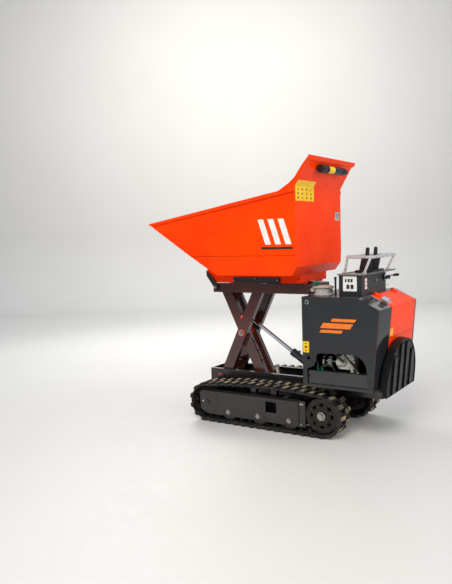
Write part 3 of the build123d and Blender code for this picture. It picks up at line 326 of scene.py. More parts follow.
def paint(name, codes, roughness, coat, chip, wear=0.35, dust=0.0, dust_top=0.6, peel=0.00004, **sheen):
    """Sprayed enamel: slow colour drift, orange peel, chipped edges and road dust low down.

    The codes are the usual, darkest and lightest colours. Sheen may hold shine, ior and dull, the
    shine of upright faces where only those turned upwards are polished.
    """
    shine, ior, dull = sheen.get("shine", 0.5), sheen.get("ior", 1.5), sheen.get("dull")
    code, dark, light = (rgb(c) for c in codes)
    s = Shader(name)
    drift = s.span(s.noise(3.5, 3.0), 0.3, 0.7)
    color = s.mix(drift, dark, light)
    color = s.mix(s.span(s.noise(38.0, 5.0), 0.42, 0.66, 0.0, 0.35), color, code)
    chips = s.maths("MULTIPLY", s.edge_wear(), s.span(s.noise(70.0, 6.0, 0.65), 0.50, 0.62, 0.0, wear))
    color = s.mix(chips, color, rgb(chip))
    streaks = s.noise(1.0, 6.0, 0.6, s.stretch((16.0, 16.0, 9.0)))
    grime = s.span(s.axis("Z"), 0.02, dust_top, dust, dust * 0.08)
    grime = s.maths("MULTIPLY", grime, s.span(streaks, 0.30, 0.72, 0.25, 1.0))
    top = s.span(s.facing_up(), 0.5, 1.0, 0.0, dust * 0.8)
    grime = s.maths("ADD", grime, s.maths("MULTIPLY", top, s.span(s.noise(24.0, 5.0), 0.35, 0.7)))
    color = s.mix(grime, color, rgb("9a8870"))
    rough = s.span(s.noise(9.0, 4.0), 0.3, 0.7, roughness * 0.85, roughness * 1.2)
    rough = s.maths("ADD", rough, s.maths("MULTIPLY", grime, 0.7))
    fine, coarse = s.maths("MULTIPLY", s.noise(520.0, 2.0), 0.6), s.maths("MULTIPLY", s.noise(60.0, 3.0), 0.4)
    bump = s.maths("ADD", fine, coarse)
    if dull:
        coat = s.span(s.facing_up(), 0.3, 0.8, 0.0, coat)
        shine = s.span(s.facing_up(), 0.3, 0.8, dull, shine)
    gloss = {"coat_weight": coat, "coat_roughness": 0.06, "specular_ior_level": shine, "ior": ior}
    return s.finish(color, rough, bump, peel, 0.0012, **gloss)


DRAWN = (30.0, 30.0, 300.0)
CAST = (160.0, 160.0, 160.0)


def metal(name, dark, light, roughness, scratch=1.0, stretch=DRAWN, rust=0.0, grime=0.2, bare=1.0):
    """Bare or plated metal with fine drawn scratches and stained spots."""
    s = Shader(name)
    lines = s.noise(1.0, 4.0, 0.6, s.stretch(stretch))
    color = s.mix(s.span(lines, 0.35, 0.65), rgb(dark), rgb(light))
    stain = s.span(s.noise(55.0, 5.0, 0.65), 0.52, 0.68, 0.0, grime)
    color = s.mix(stain, color, rgb("4a4238"))
    if rust:
        color = s.mix(s.span(s.noise(95.0, 6.0, 0.7), 0.55, 0.64, 0.0, rust), color, rgb("6d3a1c"))
    rough = s.span(s.noise(30.0, 4.0), 0.3, 0.7, roughness * 0.75, roughness * 1.35)
    bump = s.maths("MULTIPLY", lines, 0.5 * scratch)
    return s.finish(color, rough, bump, 0.00005, 0.0006, metallic=bare)


def rubber(name, code, dusty, amount, roughness, grain=420.0, depth=0.0001):
    """Moulded rubber with fine grain and dry dust in patches."""
    s = Shader(name)
    patches = s.span(s.noise(26.0, 6.0, 0.65), 0.38, 0.68, 0.0, amount)
    color = s.mix(s.span(s.noise(8.0, 3.0), 0.3, 0.7), rgb(code), rgb("232120"))
    color = s.mix(patches, color, rgb(dusty))
    rough = s.maths("ADD", roughness, s.maths("MULTIPLY", patches, 0.2))
    bump = s.maths("ADD", s.maths("MULTIPLY", s.noise(grain, 3.0), 0.5), s.maths("MULTIPLY", patches, 0.5))
    return s.finish(color, rough, bump, depth, 0.001)


def plastic(name, code, light, roughness=0.45, grain=650.0):
    """Moulded plastic with a fine spark-eroded grain."""
    s = Shader(name)
    color = s.mix(s.span(s.noise(14.0, 4.0), 0.35, 0.65), rgb(code), rgb(light))
    rough = s.span(s.noise(40.0, 4.0), 0.3, 0.7, roughness * 0.85, roughness * 1.2)
    return s.finish(color, rough, s.noise(grain, 2.0), 0.00006, 0.0006)


def label(name, code, worn):
    """Printed vinyl label, faded and scuffed."""
    s = Shader(name)
    scuffs = s.span(s.noise(85.0, 6.0, 0.7), 0.56, 0.72, 0.0, 0.55)
    color = s.mix(s.span(s.noise(20.0, 4.0), 0.3, 0.7), rgb(code), rgb(worn))
    color = s.mix(scuffs, color, rgb("8a7c66"))
    rough = s.span(s.noise(60.0, 4.0), 0.3, 0.7, 0.26, 0.5)
    return s.finish(color, rough, s.noise(180.0, 3.0), 0.00003)


ORANGE = paint(
    "orange_enamel", ("f03a00", "ea3400", "f64200"), 0.26, 0.04, "7a2a10",
    wear=0.3, dust=0.008, dust_top=1.4, shine=0.08,
)
# Darker orange for the fold seam: painted shade along the crease.
SEAM_SHADE_PAINT = paint("orange_seam_painted_shade", ("9c2500", "8a1f00", "a82a00"), 0.35, 0.0, "5a1a0a", wear=0.2, shine=0.1)
CHARCOAL = paint(
    "charcoal_powdercoat", ("1c1e21", "191b1d", "222427"), 0.32, 0.10, "5b5c5e",
    wear=0.3, dust=0.05, peel=0.00008,
)
GLOSS_CHARCOAL = paint(
    "gloss_charcoal", ("1e2125", "1a1c1f", "24272b"), 0.07, 1.0, "5b5c5e",
    wear=0.3, dust=0.02, dust_top=0.5, shine=0.6, ior=1.9, dull=0.06,
)
# Black gloss enamel tinted dark maroon: the maroon is a painted reflection of the orange skip, not the paint's
# own colour.
BLACK_WITH_PAINTED_REFLECTION = paint("black_enamel_painted_orange_reflection", ("3f1813", "32110d", "4c1f19"), 0.16, 0.7, "6f5650", dust=0.07)
BLACK = paint("black_enamel", ("17181a", "121314", "1f2022"), 0.20, 0.6, "5f5f60", dust=0.10, dust_top=0.5)
TRACK_PAINT = paint(
    "track_frame_enamel", ("1b1918", "161514", "221f1f"), 0.24, 0.3, "6a645d", dust=0.03, dust_top=0.35
)
STEP_PAINT = paint(
    "step_enamel", ("0e1011", "0b0d0e", "141718"), 0.34, 0.03, "4c4e50", dust=0.02, dust_top=0.8, shine=0.12
)
IRON = metal("cast_iron", "1d1c1b", "343230", 0.55, rust=0.35, grime=0.5)
DUSTY_IRON = metal("worn_tooth_steel", "2a2927", "55504a", 0.48, rust=0.3, grime=0.55)
ZINC = metal("zinc_plate", "a7a69c", "cfcdc2", 0.30, grime=0.25)
STEEL = metal("machined_steel", "8d8d8c", "b9b9b7", 0.26, grime=0.2)
CHROME = metal("hard_chrome", "d9dadb", "f2f2f2", 0.06, scratch=0.2, grime=0.06)
CAST_ALUMINIUM = metal("cast_aluminium", "b5b0a7", "d6d0c4", 0.5, stretch=CAST, grime=0.12, bare=0.45)
PALE_CAST = metal("pale_green_casting", "8fa08a", "b6bda8", 0.5, stretch=CAST, grime=0.35, bare=0.4)
BRIGHT_TUBE = metal("zinc_tube", "b4b4b2", "dedede", 0.30, grime=0.08, bare=0.6)
LATCH_ZINC = metal("bright_latch_zinc", "c2c4c4", "eceeee", 0.22, grime=0.06, bare=0.65)
GALVANISED = metal("galvanised_sheet", "8f9495", "b6bbbb", 0.34, stretch=(40.0, 40.0, 40.0), grime=0.2)
TREAD = rubber("track_rubber", "0d0d0d", "6b5f4e", 0.16, 0.7)
TREAD_TOP = rubber("dusty_lug_faces", "4a4338", "b9a684", 1.0, 0.9, depth=0.0004)
HOSE = rubber("hose_rubber", "121212", "5a5146", 0.15, 0.5, grain=900.0)
BOOT = rubber("lever_boot_rubber", "0f0f10", "4c463d", 0.12, 0.55)
BLACK_PLASTIC = plastic("black_plastic", "141416", "1f1f22")
NYLON = plastic("nylon", "b9b5a4", "d2cebf", 0.5)
GREEN_PLASTIC = plastic("green_fitting", "0f4a33", "176045", 0.4)
YELLOW_LABEL = label("yellow_label", "f2c400", "dcae00")
DARK_PRINT = label("dark_print", "191817", "26231f")
WHITE_PRINT = label("white_print", "e9e7e2", "d5d2cb")
ORANGE_PRINT = label("orange_print", "f07a10", "de6c0c")
RED_PRINT = label("red_print", "a01c1c", "8a1818")
# Dark red line for the side panels' rear edge: a painted reflection.
REFLECTION_LINE_PAINT = label("painted_reflection_line", "3d1517", "4a1a1c")
BLUE_PRINT = label("blue_dial", "9fc3dc", "86adc8")
GREY_PLATE = label("grey_rating_plate", "b4b6b6", "9da0a0")

CAD_FINISHES = {
    ORANGE: ("skip_body", "skip_subframe", "engine_cover", "rear_skirt"),
    # Scissor arms and upper frame: black gloss whose maroon tint is a painted reflection of the skip.
    BLACK_WITH_PAINTED_REFLECTION: ("scissor_outer_arms", "scissor_inner_arms", "upper_frame"),
    BLACK: (
        *("chassis_pins", "upper_frame_pins", "skip_hinge_plates", "lift_barrel", "tip_barrel"),
        *("house_base", "engine_block", "exhaust_muffler"),
    ),
    CHARCOAL: (
        *("side_panel_left", "side_panel_right", "house_shell", "console_box"),
        *("hydraulic_tank", "panel_hardware"),
    ),
    GLOSS_CHARCOAL: ("rear_corner_panel",),
    TRACK_PAINT: (
        *("track_frame_left", "track_frame_right", "chassis_frame"),
        *(n for n in NODES if n.startswith("track_roller")),
    ),
    STEP_PAINT: ("rider_step",),
    IRON: ("drive_motors",),
    DUSTY_IRON: tuple(n for n in NODES if n.startswith(("drive_sprocket", "idler_wheel"))),
    ZINC: ("track_axles", "scissor_centre_bolts", "latch_base", "latch_lever", "throttle_lever"),
    STEEL: ("pump_drive_shaft",),
    CHROME: ("lift_rod", "tip_rod"),
    CAST_ALUMINIUM: ("hydraulic_pump", "return_filter"),
    BRIGHT_TUBE: ("guard_hoop",),
    GALVANISED: ("console_top",),
    NYLON: ("lower_slide_blocks", "upper_slide_blocks"),
    HOSE: ("hydraulic_hoses",),
    BLACK_PLASTIC: (
        *("lever_bank", "travel_lever_left", "travel_lever_right", "lift_lever", "tip_lever"),
        "document_tube",
    ),
    TREAD: ("track_belt_left", "track_belt_right"),
}
for finish, names in CAD_FINISHES.items():
    for node_name in names:
        node = NODES[node_name]
        if not node.data.materials:
            node.data.materials.append(finish)
        for index in range(len(node.data.materials)):
            node.data.materials[index] = finish


# ---- track belts -------------------------------------------------------------------------------
PITCH = 0.072
LINKS = 39
TEETH = 12
LUG_TIP = 0.0205
BELT_OUT = 0.0055
BELT_IN = 0.0045
TOP_RADIUS = 4.5
SPROCKET_RADIUS = PITCH * TEETH / (2 * math.pi)
IDLER_RADIUS = SPROCKET_RADIUS - 0.006


def belt_path(rear_x, front_x):
    """Function giving a point of the belt's neutral line and its outward angle, by length run."""
    rear = Vector((rear_x, LUG_TIP + SPROCKET_RADIUS))
    front = Vector((front_x, LUG_TIP + IDLER_RADIUS))
    to_rear = TOP_RADIUS - SPROCKET_RADIUS
    to_front = TOP_RADIUS - IDLER_RADIUS
    between = front - rear
    gap = between.length
    foot = (to_rear**2 - to_front**2 + gap**2) / (2 * gap)
    along = between / gap
    top = rear + along * foot + Vector((along.y, -along.x)) * math.sqrt(to_rear**2 - foot**2)
    rear_angle = math.atan2(rear.y - top.y, rear.x - top.x)
    front_angle = math.atan2(front.y - top.y, front.x - top.x)
    rear_run = SPROCKET_RADIUS * (1.5 * math.pi - rear_angle)
    top_run = TOP_RADIUS * (rear_angle - front_angle)
    front_run = IDLER_RADIUS * (front_angle + math.pi / 2)

    def place(length):
        length = length % (PITCH * LINKS)
        if length < rear_run:
            centre, radius, angle = rear, SPROCKET_RADIUS, 1.5 * math.pi - length / SPROCKET_RADIUS
        elif length < rear_run + top_run:
            centre, radius, angle = top, TOP_RADIUS, rear_angle - (length - rear_run) / TOP_RADIUS
        elif length < rear_run + top_run + front_run:
            centre, radius = front, IDLER_RADIUS
            angle = front_angle - (length - rear_run - top_run) / IDLER_RADIUS
        else:
            return Vector((front.x - (length - rear_run - top_run - front_run), 0, LUG_TIP)), -math.pi / 2
        x = centre.x + radius * math.cos(angle)
        z = centre.y + radius * math.sin(angle)
        return Vector((x, 0, z)), angle

    return place


def belt_matrix(place, length, centre_y):
    """Frame on the belt: local x along travel, y across, z outwards."""
    point, angle = place(length)
    out = Vector((math.cos(angle), 0, math.sin(angle)))
    forward = Vector((out.z, 0, -out.x))
    return axes_matrix(forward, (0, 1, 0), out, point + Vector((0, centre_y, 0)))


def add_lug(bm, matrix, y_low, y_high, length, base, tip, slant):
    """Tapered tread lug with a dusty top face."""
    half, top_half = length / 2, length / 2 - 0.0045
    corners = []
    for z, run, draw in ((base, half, 0.0), (tip, top_half, 0.004)):
        for x, y in ((-run, y_low + draw), (run, y_low + draw), (run, y_high - draw), (-run, y_high - draw)):
            corners.append(bm.verts.new(matrix @ Vector((x + slant * (y - (y_low + y_high) / 2), y, z))))
    low, top = corners[:4], corners[4:]
    bm.faces.new(low)
    crown = bm.faces.new(list(reversed(top)))
    for k in range(4):
        bm.faces.new((low[k], low[(k + 1) % 4], top[(k + 1) % 4], top[k]))
    crown.material_index = 1
    bevel_new(bm, top, 0.0018)


def build_belt(side_name):
    """Rubber track belt with staggered lugs, guide horns and sprocket windows."""
    sprocket_low, sprocket_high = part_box("drive_sprocket_" + side_name)
    idler_low, idler_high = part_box("idler_wheel_" + side_name)
    belt_low, belt_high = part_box("track_belt_" + side_name)
    centre_y = (belt_low.y + belt_high.y) / 2
    half = (belt_high.y - belt_low.y) / 2
    place = belt_path((sprocket_low.x + sprocket_high.x) / 2, (idler_low.x + idler_high.x) / 2)
    bm = bmesh.new()
    steps = LINKS * 6
    window = 0.022
    for inner, outer in ((-half, -window), (window, half)):
        rings = []
        for i in range(steps):
            matrix = belt_matrix(place, i * PITCH * LINKS / steps, centre_y)
            section = (
                *((inner + 0.002, -BELT_IN), (outer - 0.002, -BELT_IN)),
                *((outer, -BELT_IN + 0.002), (outer, BELT_OUT - 0.003)),
                *((outer - 0.003, BELT_OUT), (inner + 0.003, BELT_OUT)),
                *((inner, BELT_OUT - 0.003), (inner, -BELT_IN + 0.002)),
            )
            rings.append([bm.verts.new(matrix @ Vector((0, y, z))) for y, z in section])
        add_skin(bm, [*rings, rings[0]], capped=False)
    for link in range(LINKS):
        for phase, low, high in ((0.0, 0.004, half), (0.5, -half, -0.004)):
            matrix = belt_matrix(place, (link + phase) * PITCH, centre_y)
            flip = 1 if low > 0 else -1
            add_lug(bm, matrix, low, high, 0.038, BELT_OUT - 0.002, LUG_TIP, 0.06 * flip)
        bridge = belt_matrix(place, link * PITCH, centre_y)
        add_box(bm, (-0.023, -window, -BELT_IN), (0.023, window, BELT_OUT), 0.002, bridge)
        guide = belt_matrix(place, (link + 0.5) * PITCH, centre_y)
        for y in (-0.0295, 0.0295):
            add_box(bm, (-0.014, y - 0.0042, -0.0265), (0.014, y + 0.0042, -BELT_IN + 0.001), 0.0025, guide)
    for vert in bm.verts:
        vert.co.z = max(vert.co.z, belt_low.z)
    belt = add_piece("belt_" + side_name, bm, TREAD, "chassis", (TREAD_TOP,))
    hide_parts("track_belt_" + side_name)


build_belt("left")
build_belt("right")


# ---- skip --------------------------------------------------------------------------------------
SKIP_LOW, SKIP_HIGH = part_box("skip_body")
RIM_OUT = 0.012
SKIP_SIDE = SKIP_HIGH.y - RIM_OUT
SKIP_BACK = -0.332
SKIP_FOLD = 1.775
FLOOR_HALF = SKIP_SIDE - 0.018
CREASE_Z = SKIP_LOW.z + 0.145
CHUTE_FOOT = (0.352, SKIP_LOW.z)
LIP = (SKIP_HIGH.x, 1.551)


def chute_x(z):
    """X of the chute's outside at a height."""
    return CHUTE_FOOT[0] + (z - CHUTE_FOOT[1]) * (LIP[0] - CHUTE_FOOT[0]) / (LIP[1] - CHUTE_FOOT[1])


def build_skip_welds():
    """Weld beads where the chute and floor meet the sides, inside the rim and on the sub-frame."""
    bm = bmesh.new()
    for sign in (1, -1):
        crease = (chute_x(CREASE_Z), sign * SKIP_SIDE, CREASE_Z)
        toe = (CHUTE_FOOT[0], sign * FLOOR_HALF, CHUTE_FOOT[1] + 0.001)
        add_weld(bm, toe, crease, 0.0022)
        add_weld(bm, crease, (LIP[0] - 0.05, sign * SKIP_SIDE, LIP[1] - 0.033), 0.0022)
        add_weld(bm, (-0.286, *toe[1:]), toe, 0.002)
        corner = (SKIP_BACK + 0.006, sign * (SKIP_SIDE - 0.006))
        add_weld(bm, (*corner, 1.30), (*corner, 1.70))
        rail = (sign * 0.1515, SKIP_LOW.z - 0.001)
        for start, end in ((-0.26, -0.14), (-0.02, 0.10), (0.18, 0.33)):
            add_weld(bm, (start, *rail), (end, *rail), 0.003)
    add_piece("skip_welds", bm, ORANGE, "skip")


def build_skip_seams():
    """Fine pressed seam along the fold of both sides, in darker orange as painted shade along the fold."""
    bm = bmesh.new()
    for sign in (1, -1):
        y = sign * (SKIP_SIDE + 0.0004)
        add_tube(bm, [(SKIP_BACK, y, CREASE_Z), (chute_x(CREASE_Z) - 0.004, y, CREASE_Z)], 0.0016, 8, 0)
    add_piece("skip_seams", bm, SEAM_SHADE_PAINT, "skip")


def build_document_tube():
    """Black document tube with a ribbed cap, straps and a label wrap."""
    low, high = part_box("document_tube")
    radius = 0.026
    centre = Vector(((low.x + high.x) / 2, 0, (low.z + high.z) / 2))
    slope = Vector((0.12, 0, -0.2)).normalized()
    out = Vector((slope.z, 0, -slope.x))
    bm = bmesh.new()
    y0, y1 = low.y, high.y
    body = [(0.0, 0.0), (radius * 0.80, 0.0), (radius * 0.95, 0.006), (radius, 0.012)]
    cap = ((1.0, 0.062), (1.10, 0.060), (1.12, 0.052), (1.12, 0.012), (0.98, 0.002), (0.0, 0.0))
    body += [(radius * width, y1 - y0 - back) for width, back in cap]
    add_lathe(bm, body, (centre.x, y0, centre.z), (0, 1, 0), 48)
    for turn in range(16):
        angle = 2 * math.pi * turn / 16
        rib = Vector((math.cos(angle), 0, math.sin(angle))) * radius * 1.11
        a = centre + rib
        add_tube(bm, [(a.x, y1 - 0.05, a.z), (a.x, y1 - 0.014, a.z)], 0.0016, 6, 0)
    for y in (y0 + 0.070, y1 - 0.110):
        inner, outer = radius + 0.0003, radius + 0.0022
        strap = [(inner, -0.009), (outer, -0.009), (outer, 0.009), (inner, 0.009)]
        add_lathe(bm, strap, (centre.x, y, centre.z), (0, 1, 0), 40)
    tube = add_piece("document_tube_shell", bm, BLACK_PLASTIC, "skip")
    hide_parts("document_tube")
    bm = bmesh.new()
    span = 2 * math.pi * 0.45
    arc = math.atan2(out.z, out.x)
    wrap = radius + 0.0006
    rows = []
    for k in range(17):
        angle = arc - span / 2 + span * k / 16
        x, z = centre.x + wrap * math.cos(angle), centre.z + wrap * math.sin(angle)
        rows.append([bm.verts.new((x, y, z)) for y in (y0 + 0.235, y0 + 0.330)])
    for a, b in zip(rows, rows[1:]):
        bm.faces.new((a[0], a[1], b[1], b[0]))
    add_piece("document_tube_label", bm, YELLOW_LABEL, "skip")


def rounded_rect(u0, v0, u1, v1, r=0.006, steps=4):
    """Closed outline of a rectangle with rounded corners."""
    out = []
    corners = (
        (u1 - r, v1 - r, 0), (u0 + r, v1 - r, 90),
        (u0 + r, v0 + r, 180), (u1 - r, v0 + r, 270))
    for cu, cv, start in corners:
        for k in range(steps + 1):
            a = math.radians(start + 90 * k / steps)
            out.append((cu + r * math.cos(a), cv + r * math.sin(a)))
    return out


def disc_outline(u, v, r):
    """Closed outline of a round dot."""
    return [(u + x, v + y) for x, y in circle(r, 20)]


def triangle_outline(u, v, r):
    """Closed outline of a triangle that points up."""
    return [(u + r * math.sin(math.radians(a)), v + r * math.cos(math.radians(a))) for a in (0, 240, 120)]


def plate(name, axis, level, outlines, material, body, thick=0.0005):
    """Thin printed shapes standing on a plane; outlines are in the plane's two other axes."""
    bm = bmesh.new()
    for outline in outlines:
        add_prism(bm, outline, level, level + thick, axis=axis)
    return add_piece(name, bm, material, body)


def build_skip_labels():
    """Blank label plates on the skip's rear panel and generic slanted bars on its sides."""
    back = SKIP_BACK
    left, right, foot = 0.378, 0.086, 1.671
    sheet = [(left, foot), (left, SKIP_FOLD), (right, SKIP_FOLD), (right, foot)]
    plate("skip_rear_label", "x", back, [sheet], YELLOW_LABEL, "skip", -0.0006)
    slope = Vector((-0.120, 0, 0.200)).normalized()
    fold = Vector((back, 0, SKIP_FOLD))
    bm = bmesh.new()
    flap = [(right, 0.0), (left, 0.0), (left, 0.030), (0.366, 0.043), (0.098, 0.043), (right, 0.030)]
    add_prism(bm, flap, -0.0006, 0.0, axis="x")
    for vert in bm.verts:
        across, up, out = vert.co.y, vert.co.z, vert.co.x
        vert.co = fold + slope * up + Vector((slope.z, 0, -slope.x)) * out + Vector((0, across, 0))
    add_piece("skip_rear_label_top", bm, YELLOW_LABEL, "skip")
    marks = []
    for row, z in enumerate((1.752, 1.722, 1.692)):
        for column in range(4):
            u = 0.340 - column * 0.068
            pick = (row + column) % 3
            if pick == 0:
                marks.append(triangle_outline(u, z, 0.011))
            elif pick == 1:
                marks.append(disc_outline(u, z, 0.009))
            else:
                marks.append(rounded_rect(u - 0.011, z - 0.006, u + 0.011, z + 0.006, 0.002))
    plate("skip_rear_label_marks", "x", back - 0.0006, marks, DARK_PRINT, "skip", -0.0003)
    rating = rounded_rect(-0.366, 1.534, -0.284, 1.598, 0.003)
    plate("skip_rating_plate", "x", back, [rating], GREY_PLATE, "skip", -0.0012)
    lines = [rounded_rect(-0.356, z, -0.300, z + 0.004, 0.0015) for z in (1.580, 1.570, 1.560, 1.550)]
    plate("skip_rating_lines", "x", back - 0.0012, lines, DARK_PRINT, "skip", -0.0002)
    bm = bmesh.new()
    for z in (1.540, 1.592):
        for y in (-0.361, -0.289):
            add_lathe(bm, [(0.003, 0), (0.0026, 0.0012), (0, 0.0018)], (back - 0.0012, y, z), (-1, 0, 0), 12)
    add_piece("skip_rating_rivets", bm, ZINC, "skip")
    for side_name, sign in (("left", 1), ("right", -1)):
        level = sign * SKIP_SIDE
        bars = []
        for k in range(3):
            foot = -0.300 + k * 0.082
            bars.append([(foot, 1.37), (foot + 0.046, 1.37), (foot + 0.106, 1.55), (foot + 0.060, 1.55)])
        plate("skip_bars_" + side_name, "y", level, bars, WHITE_PRINT, "skip", sign * 0.0005)
        under = [[(-0.312, 1.335), (-0.058, 1.335), (-0.052, 1.352), (-0.306, 1.352)]]
        plate("skip_bar_line_" + side_name, "y", level, under, DARK_PRINT, "skip", sign * 0.0005)


# ---- scissor lift -------------------------------------------------------------------------------
def build_centre_bolts():
    """Painted washers and zinc bolts at the arms' crossing."""
    pivot = PIVOTS["scissor_centre"]
    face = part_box("scissor_centre_bolts")[1].y - 0.015
    bm = bmesh.new()
    for sign in (1, -1):
        at = Vector((pivot.x, sign * face, pivot.z))
        add_lathe(bm, [(0.028, 0), (0.028, 0.004), (0.0265, 0.0055), (0, 0.0055)], at, (0, sign, 0), 40)
        inner = Vector((pivot.x, sign * 0.0345, pivot.z))
        add_lathe(bm, [(0.028, 0), (0.028, 0.003), (0.0265, 0.004), (0, 0.004)], inner, (0, -sign, 0), 40)
    washers = add_piece("centre_washers", bm, ORANGE, "outer_arms")
    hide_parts("scissor_centre_bolts")
    bm = bmesh.new()
    for sign in (1, -1):
        add_bolt(bm, (pivot.x, sign * (face + 0.0055), pivot.z), (0, sign, 0), 0.026)
        add_bolt(bm, (pivot.x, sign * (0.0345 - 0.004), pivot.z), (0, -sign, 0), 0.024, washer=False)
    add_piece("centre_bolt_heads", bm, ZINC, "outer_arms")


def build_lift_details():
    """Cylinder pin washers and bolts, rail bolts, frame welds and the upper frame's rear plate."""
    eye = Vector((0.319, 0, 0.790))
    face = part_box("scissor_inner_arms")[1].y - 0.0665
    bm = bmesh.new()
    for sign in (1, -1):
        washer = [(0.018, 0), (0.018, 0.003), (0.0165, 0.004), (0, 0.004)]
        add_lathe(bm, washer, (eye.x, sign * face, eye.z), (0, sign, 0), 32)
    add_piece("lift_eye_washers", bm, ORANGE, "inner_arms")
    bm = bmesh.new()
    for sign in (1, -1):
        add_bolt(bm, (eye.x, sign * (face + 0.004), eye.z), (0, sign, 0), 0.016, washer=False)
    add_piece("lift_eye_bolts", bm, ZINC, "inner_arms")
    bm = bmesh.new()
    foot = PIVOTS["scissor_foot"]
    for sign in (1, -1):
        add_bolt(bm, (foot.x + 0.030, sign * 0.150, foot.z + 0.010), (0, sign, 0), 0.013)
    add_piece("rail_bolts", bm, ORANGE, "chassis")
    bm = bmesh.new()
    for sign in (1, -1):
        add_weld(bm, (0.584, sign * 0.1505, 0.278), (0.584, sign * 0.1505, 0.366))
        for x in (0.260, 0.340, -0.150, -0.230):
            add_weld(bm, (x, sign * 0.151, 0.248), (x, sign * 0.225, 0.248), 0.003)
    add_piece("chassis_welds", bm, BLACK_WITH_PAINTED_REFLECTION, "chassis")
    bm = bmesh.new()
    low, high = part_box("upper_frame")
    for sign in (1, -1):
        front, foot = high.x - 0.001, low.z + 0.004
        add_weld(bm, (front, sign * 0.121, foot), (front, sign * 0.149, foot), 0.0024)
        corner = (low.x + 0.006, sign * 0.1505)
        add_weld(bm, (*corner, low.z + 0.006), (*corner, high.z - 0.006), 0.0024)
    add_piece("upper_frame_welds", bm, BLACK_WITH_PAINTED_REFLECTION, "upper_frame")
    bm = bmesh.new()
    add_box(bm, (low.x + 0.006, -0.10, high.z - 0.001), (low.x + 0.150, 0.10, high.z + 0.003), 0.001)
    add_piece("upper_frame_rear_plate", bm, GALVANISED, "upper_frame")


def build_arm_hose():
    """Steel feed line clipped to the rear of an inner arm."""
    foot, head = Vector((0.143, 0, 0.316)), Vector((0.475, 0, 1.020))
    along = (head - foot).normalized()
    back = Vector((-along.z, 0, along.x))
    y = 0.0545
    bm = bmesh.new()
    points = []
    for distance, lift in ((0.10, 0.046), (0.16, 0.049), (0.24, 0.049), (0.32, 0.048)):
        p = foot + along * distance + back * lift
        points.append((p.x, y, p.z))
    add_tube(bm, points, 0.0045, 12, 6)
    add_piece("arm_feed_line", bm, STEEL, "inner_arms")
    bm = bmesh.new()
    for distance in (0.13, 0.21, 0.29):
        p = foot + along * distance + back * 0.0445
        matrix = Matrix.Translation((p.x, y, p.z)) @ basis_along(along)
        add_box(bm, (-0.009, -0.009, -0.006), (0.009, 0.009, 0.006), 0.002, matrix)
    add_piece("arm_line_clips", bm, BLACK_PLASTIC, "inner_arms")


# ---- engine house -----------------------------------------------------------------------------
PANEL_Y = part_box("side_panel_left")[1].y


def build_house_marks():
    """Slanted stripes, a blank label and a dark line of painted reflection along the rear edge of both side
    panels.
    """
    for side_name, sign in (("left", 1), ("right", -1)):
        level = sign * PANEL_Y
        stripe = [(-0.505, 0.790), (-0.725, 0.790), (-0.750, 0.826), (-0.530, 0.826)]
        upper = [(-0.585, 0.838), (-0.758, 0.838), (-0.772, 0.858), (-0.599, 0.858)]
        lower = [(-0.500, 0.758), (-0.660, 0.758), (-0.674, 0.778), (-0.514, 0.778)]
        bars = [stripe, upper, lower]
        plate("house_stripe_" + side_name, "y", level, bars, ORANGE_PRINT, "chassis", sign * 0.0005)
        sheet = rounded_rect(-0.419, 0.611, -0.371, 0.689, 0.003)
        plate("house_label_" + side_name, "y", level, [sheet], YELLOW_LABEL, "chassis", sign * 0.0005)
        face = level + sign * 0.0005
        marks = [disc_outline(-0.395, 0.650, 0.0085), triangle_outline(-0.395, 0.674, 0.008)]
        plate("house_label_marks_" + side_name, "y", face, marks, DARK_PRINT, "chassis", sign * 0.0003)
        dot = disc_outline(-0.395, 0.626, 0.006)
        plate("house_label_dot_" + side_name, "y", face, [dot], RED_PRINT, "chassis", sign * 0.0003)
        # Dark red line along the panel's rear edge: a painted reflection, not print.
        edge = [(-0.9315, 0.918), (-0.9275, 0.918), (-0.8795, 0.384), (-0.8835, 0.384)]
        plate("house_painted_reflection_line_" + side_name, "y", level, [edge], REFLECTION_LINE_PAINT, "chassis", sign * 0.0004)


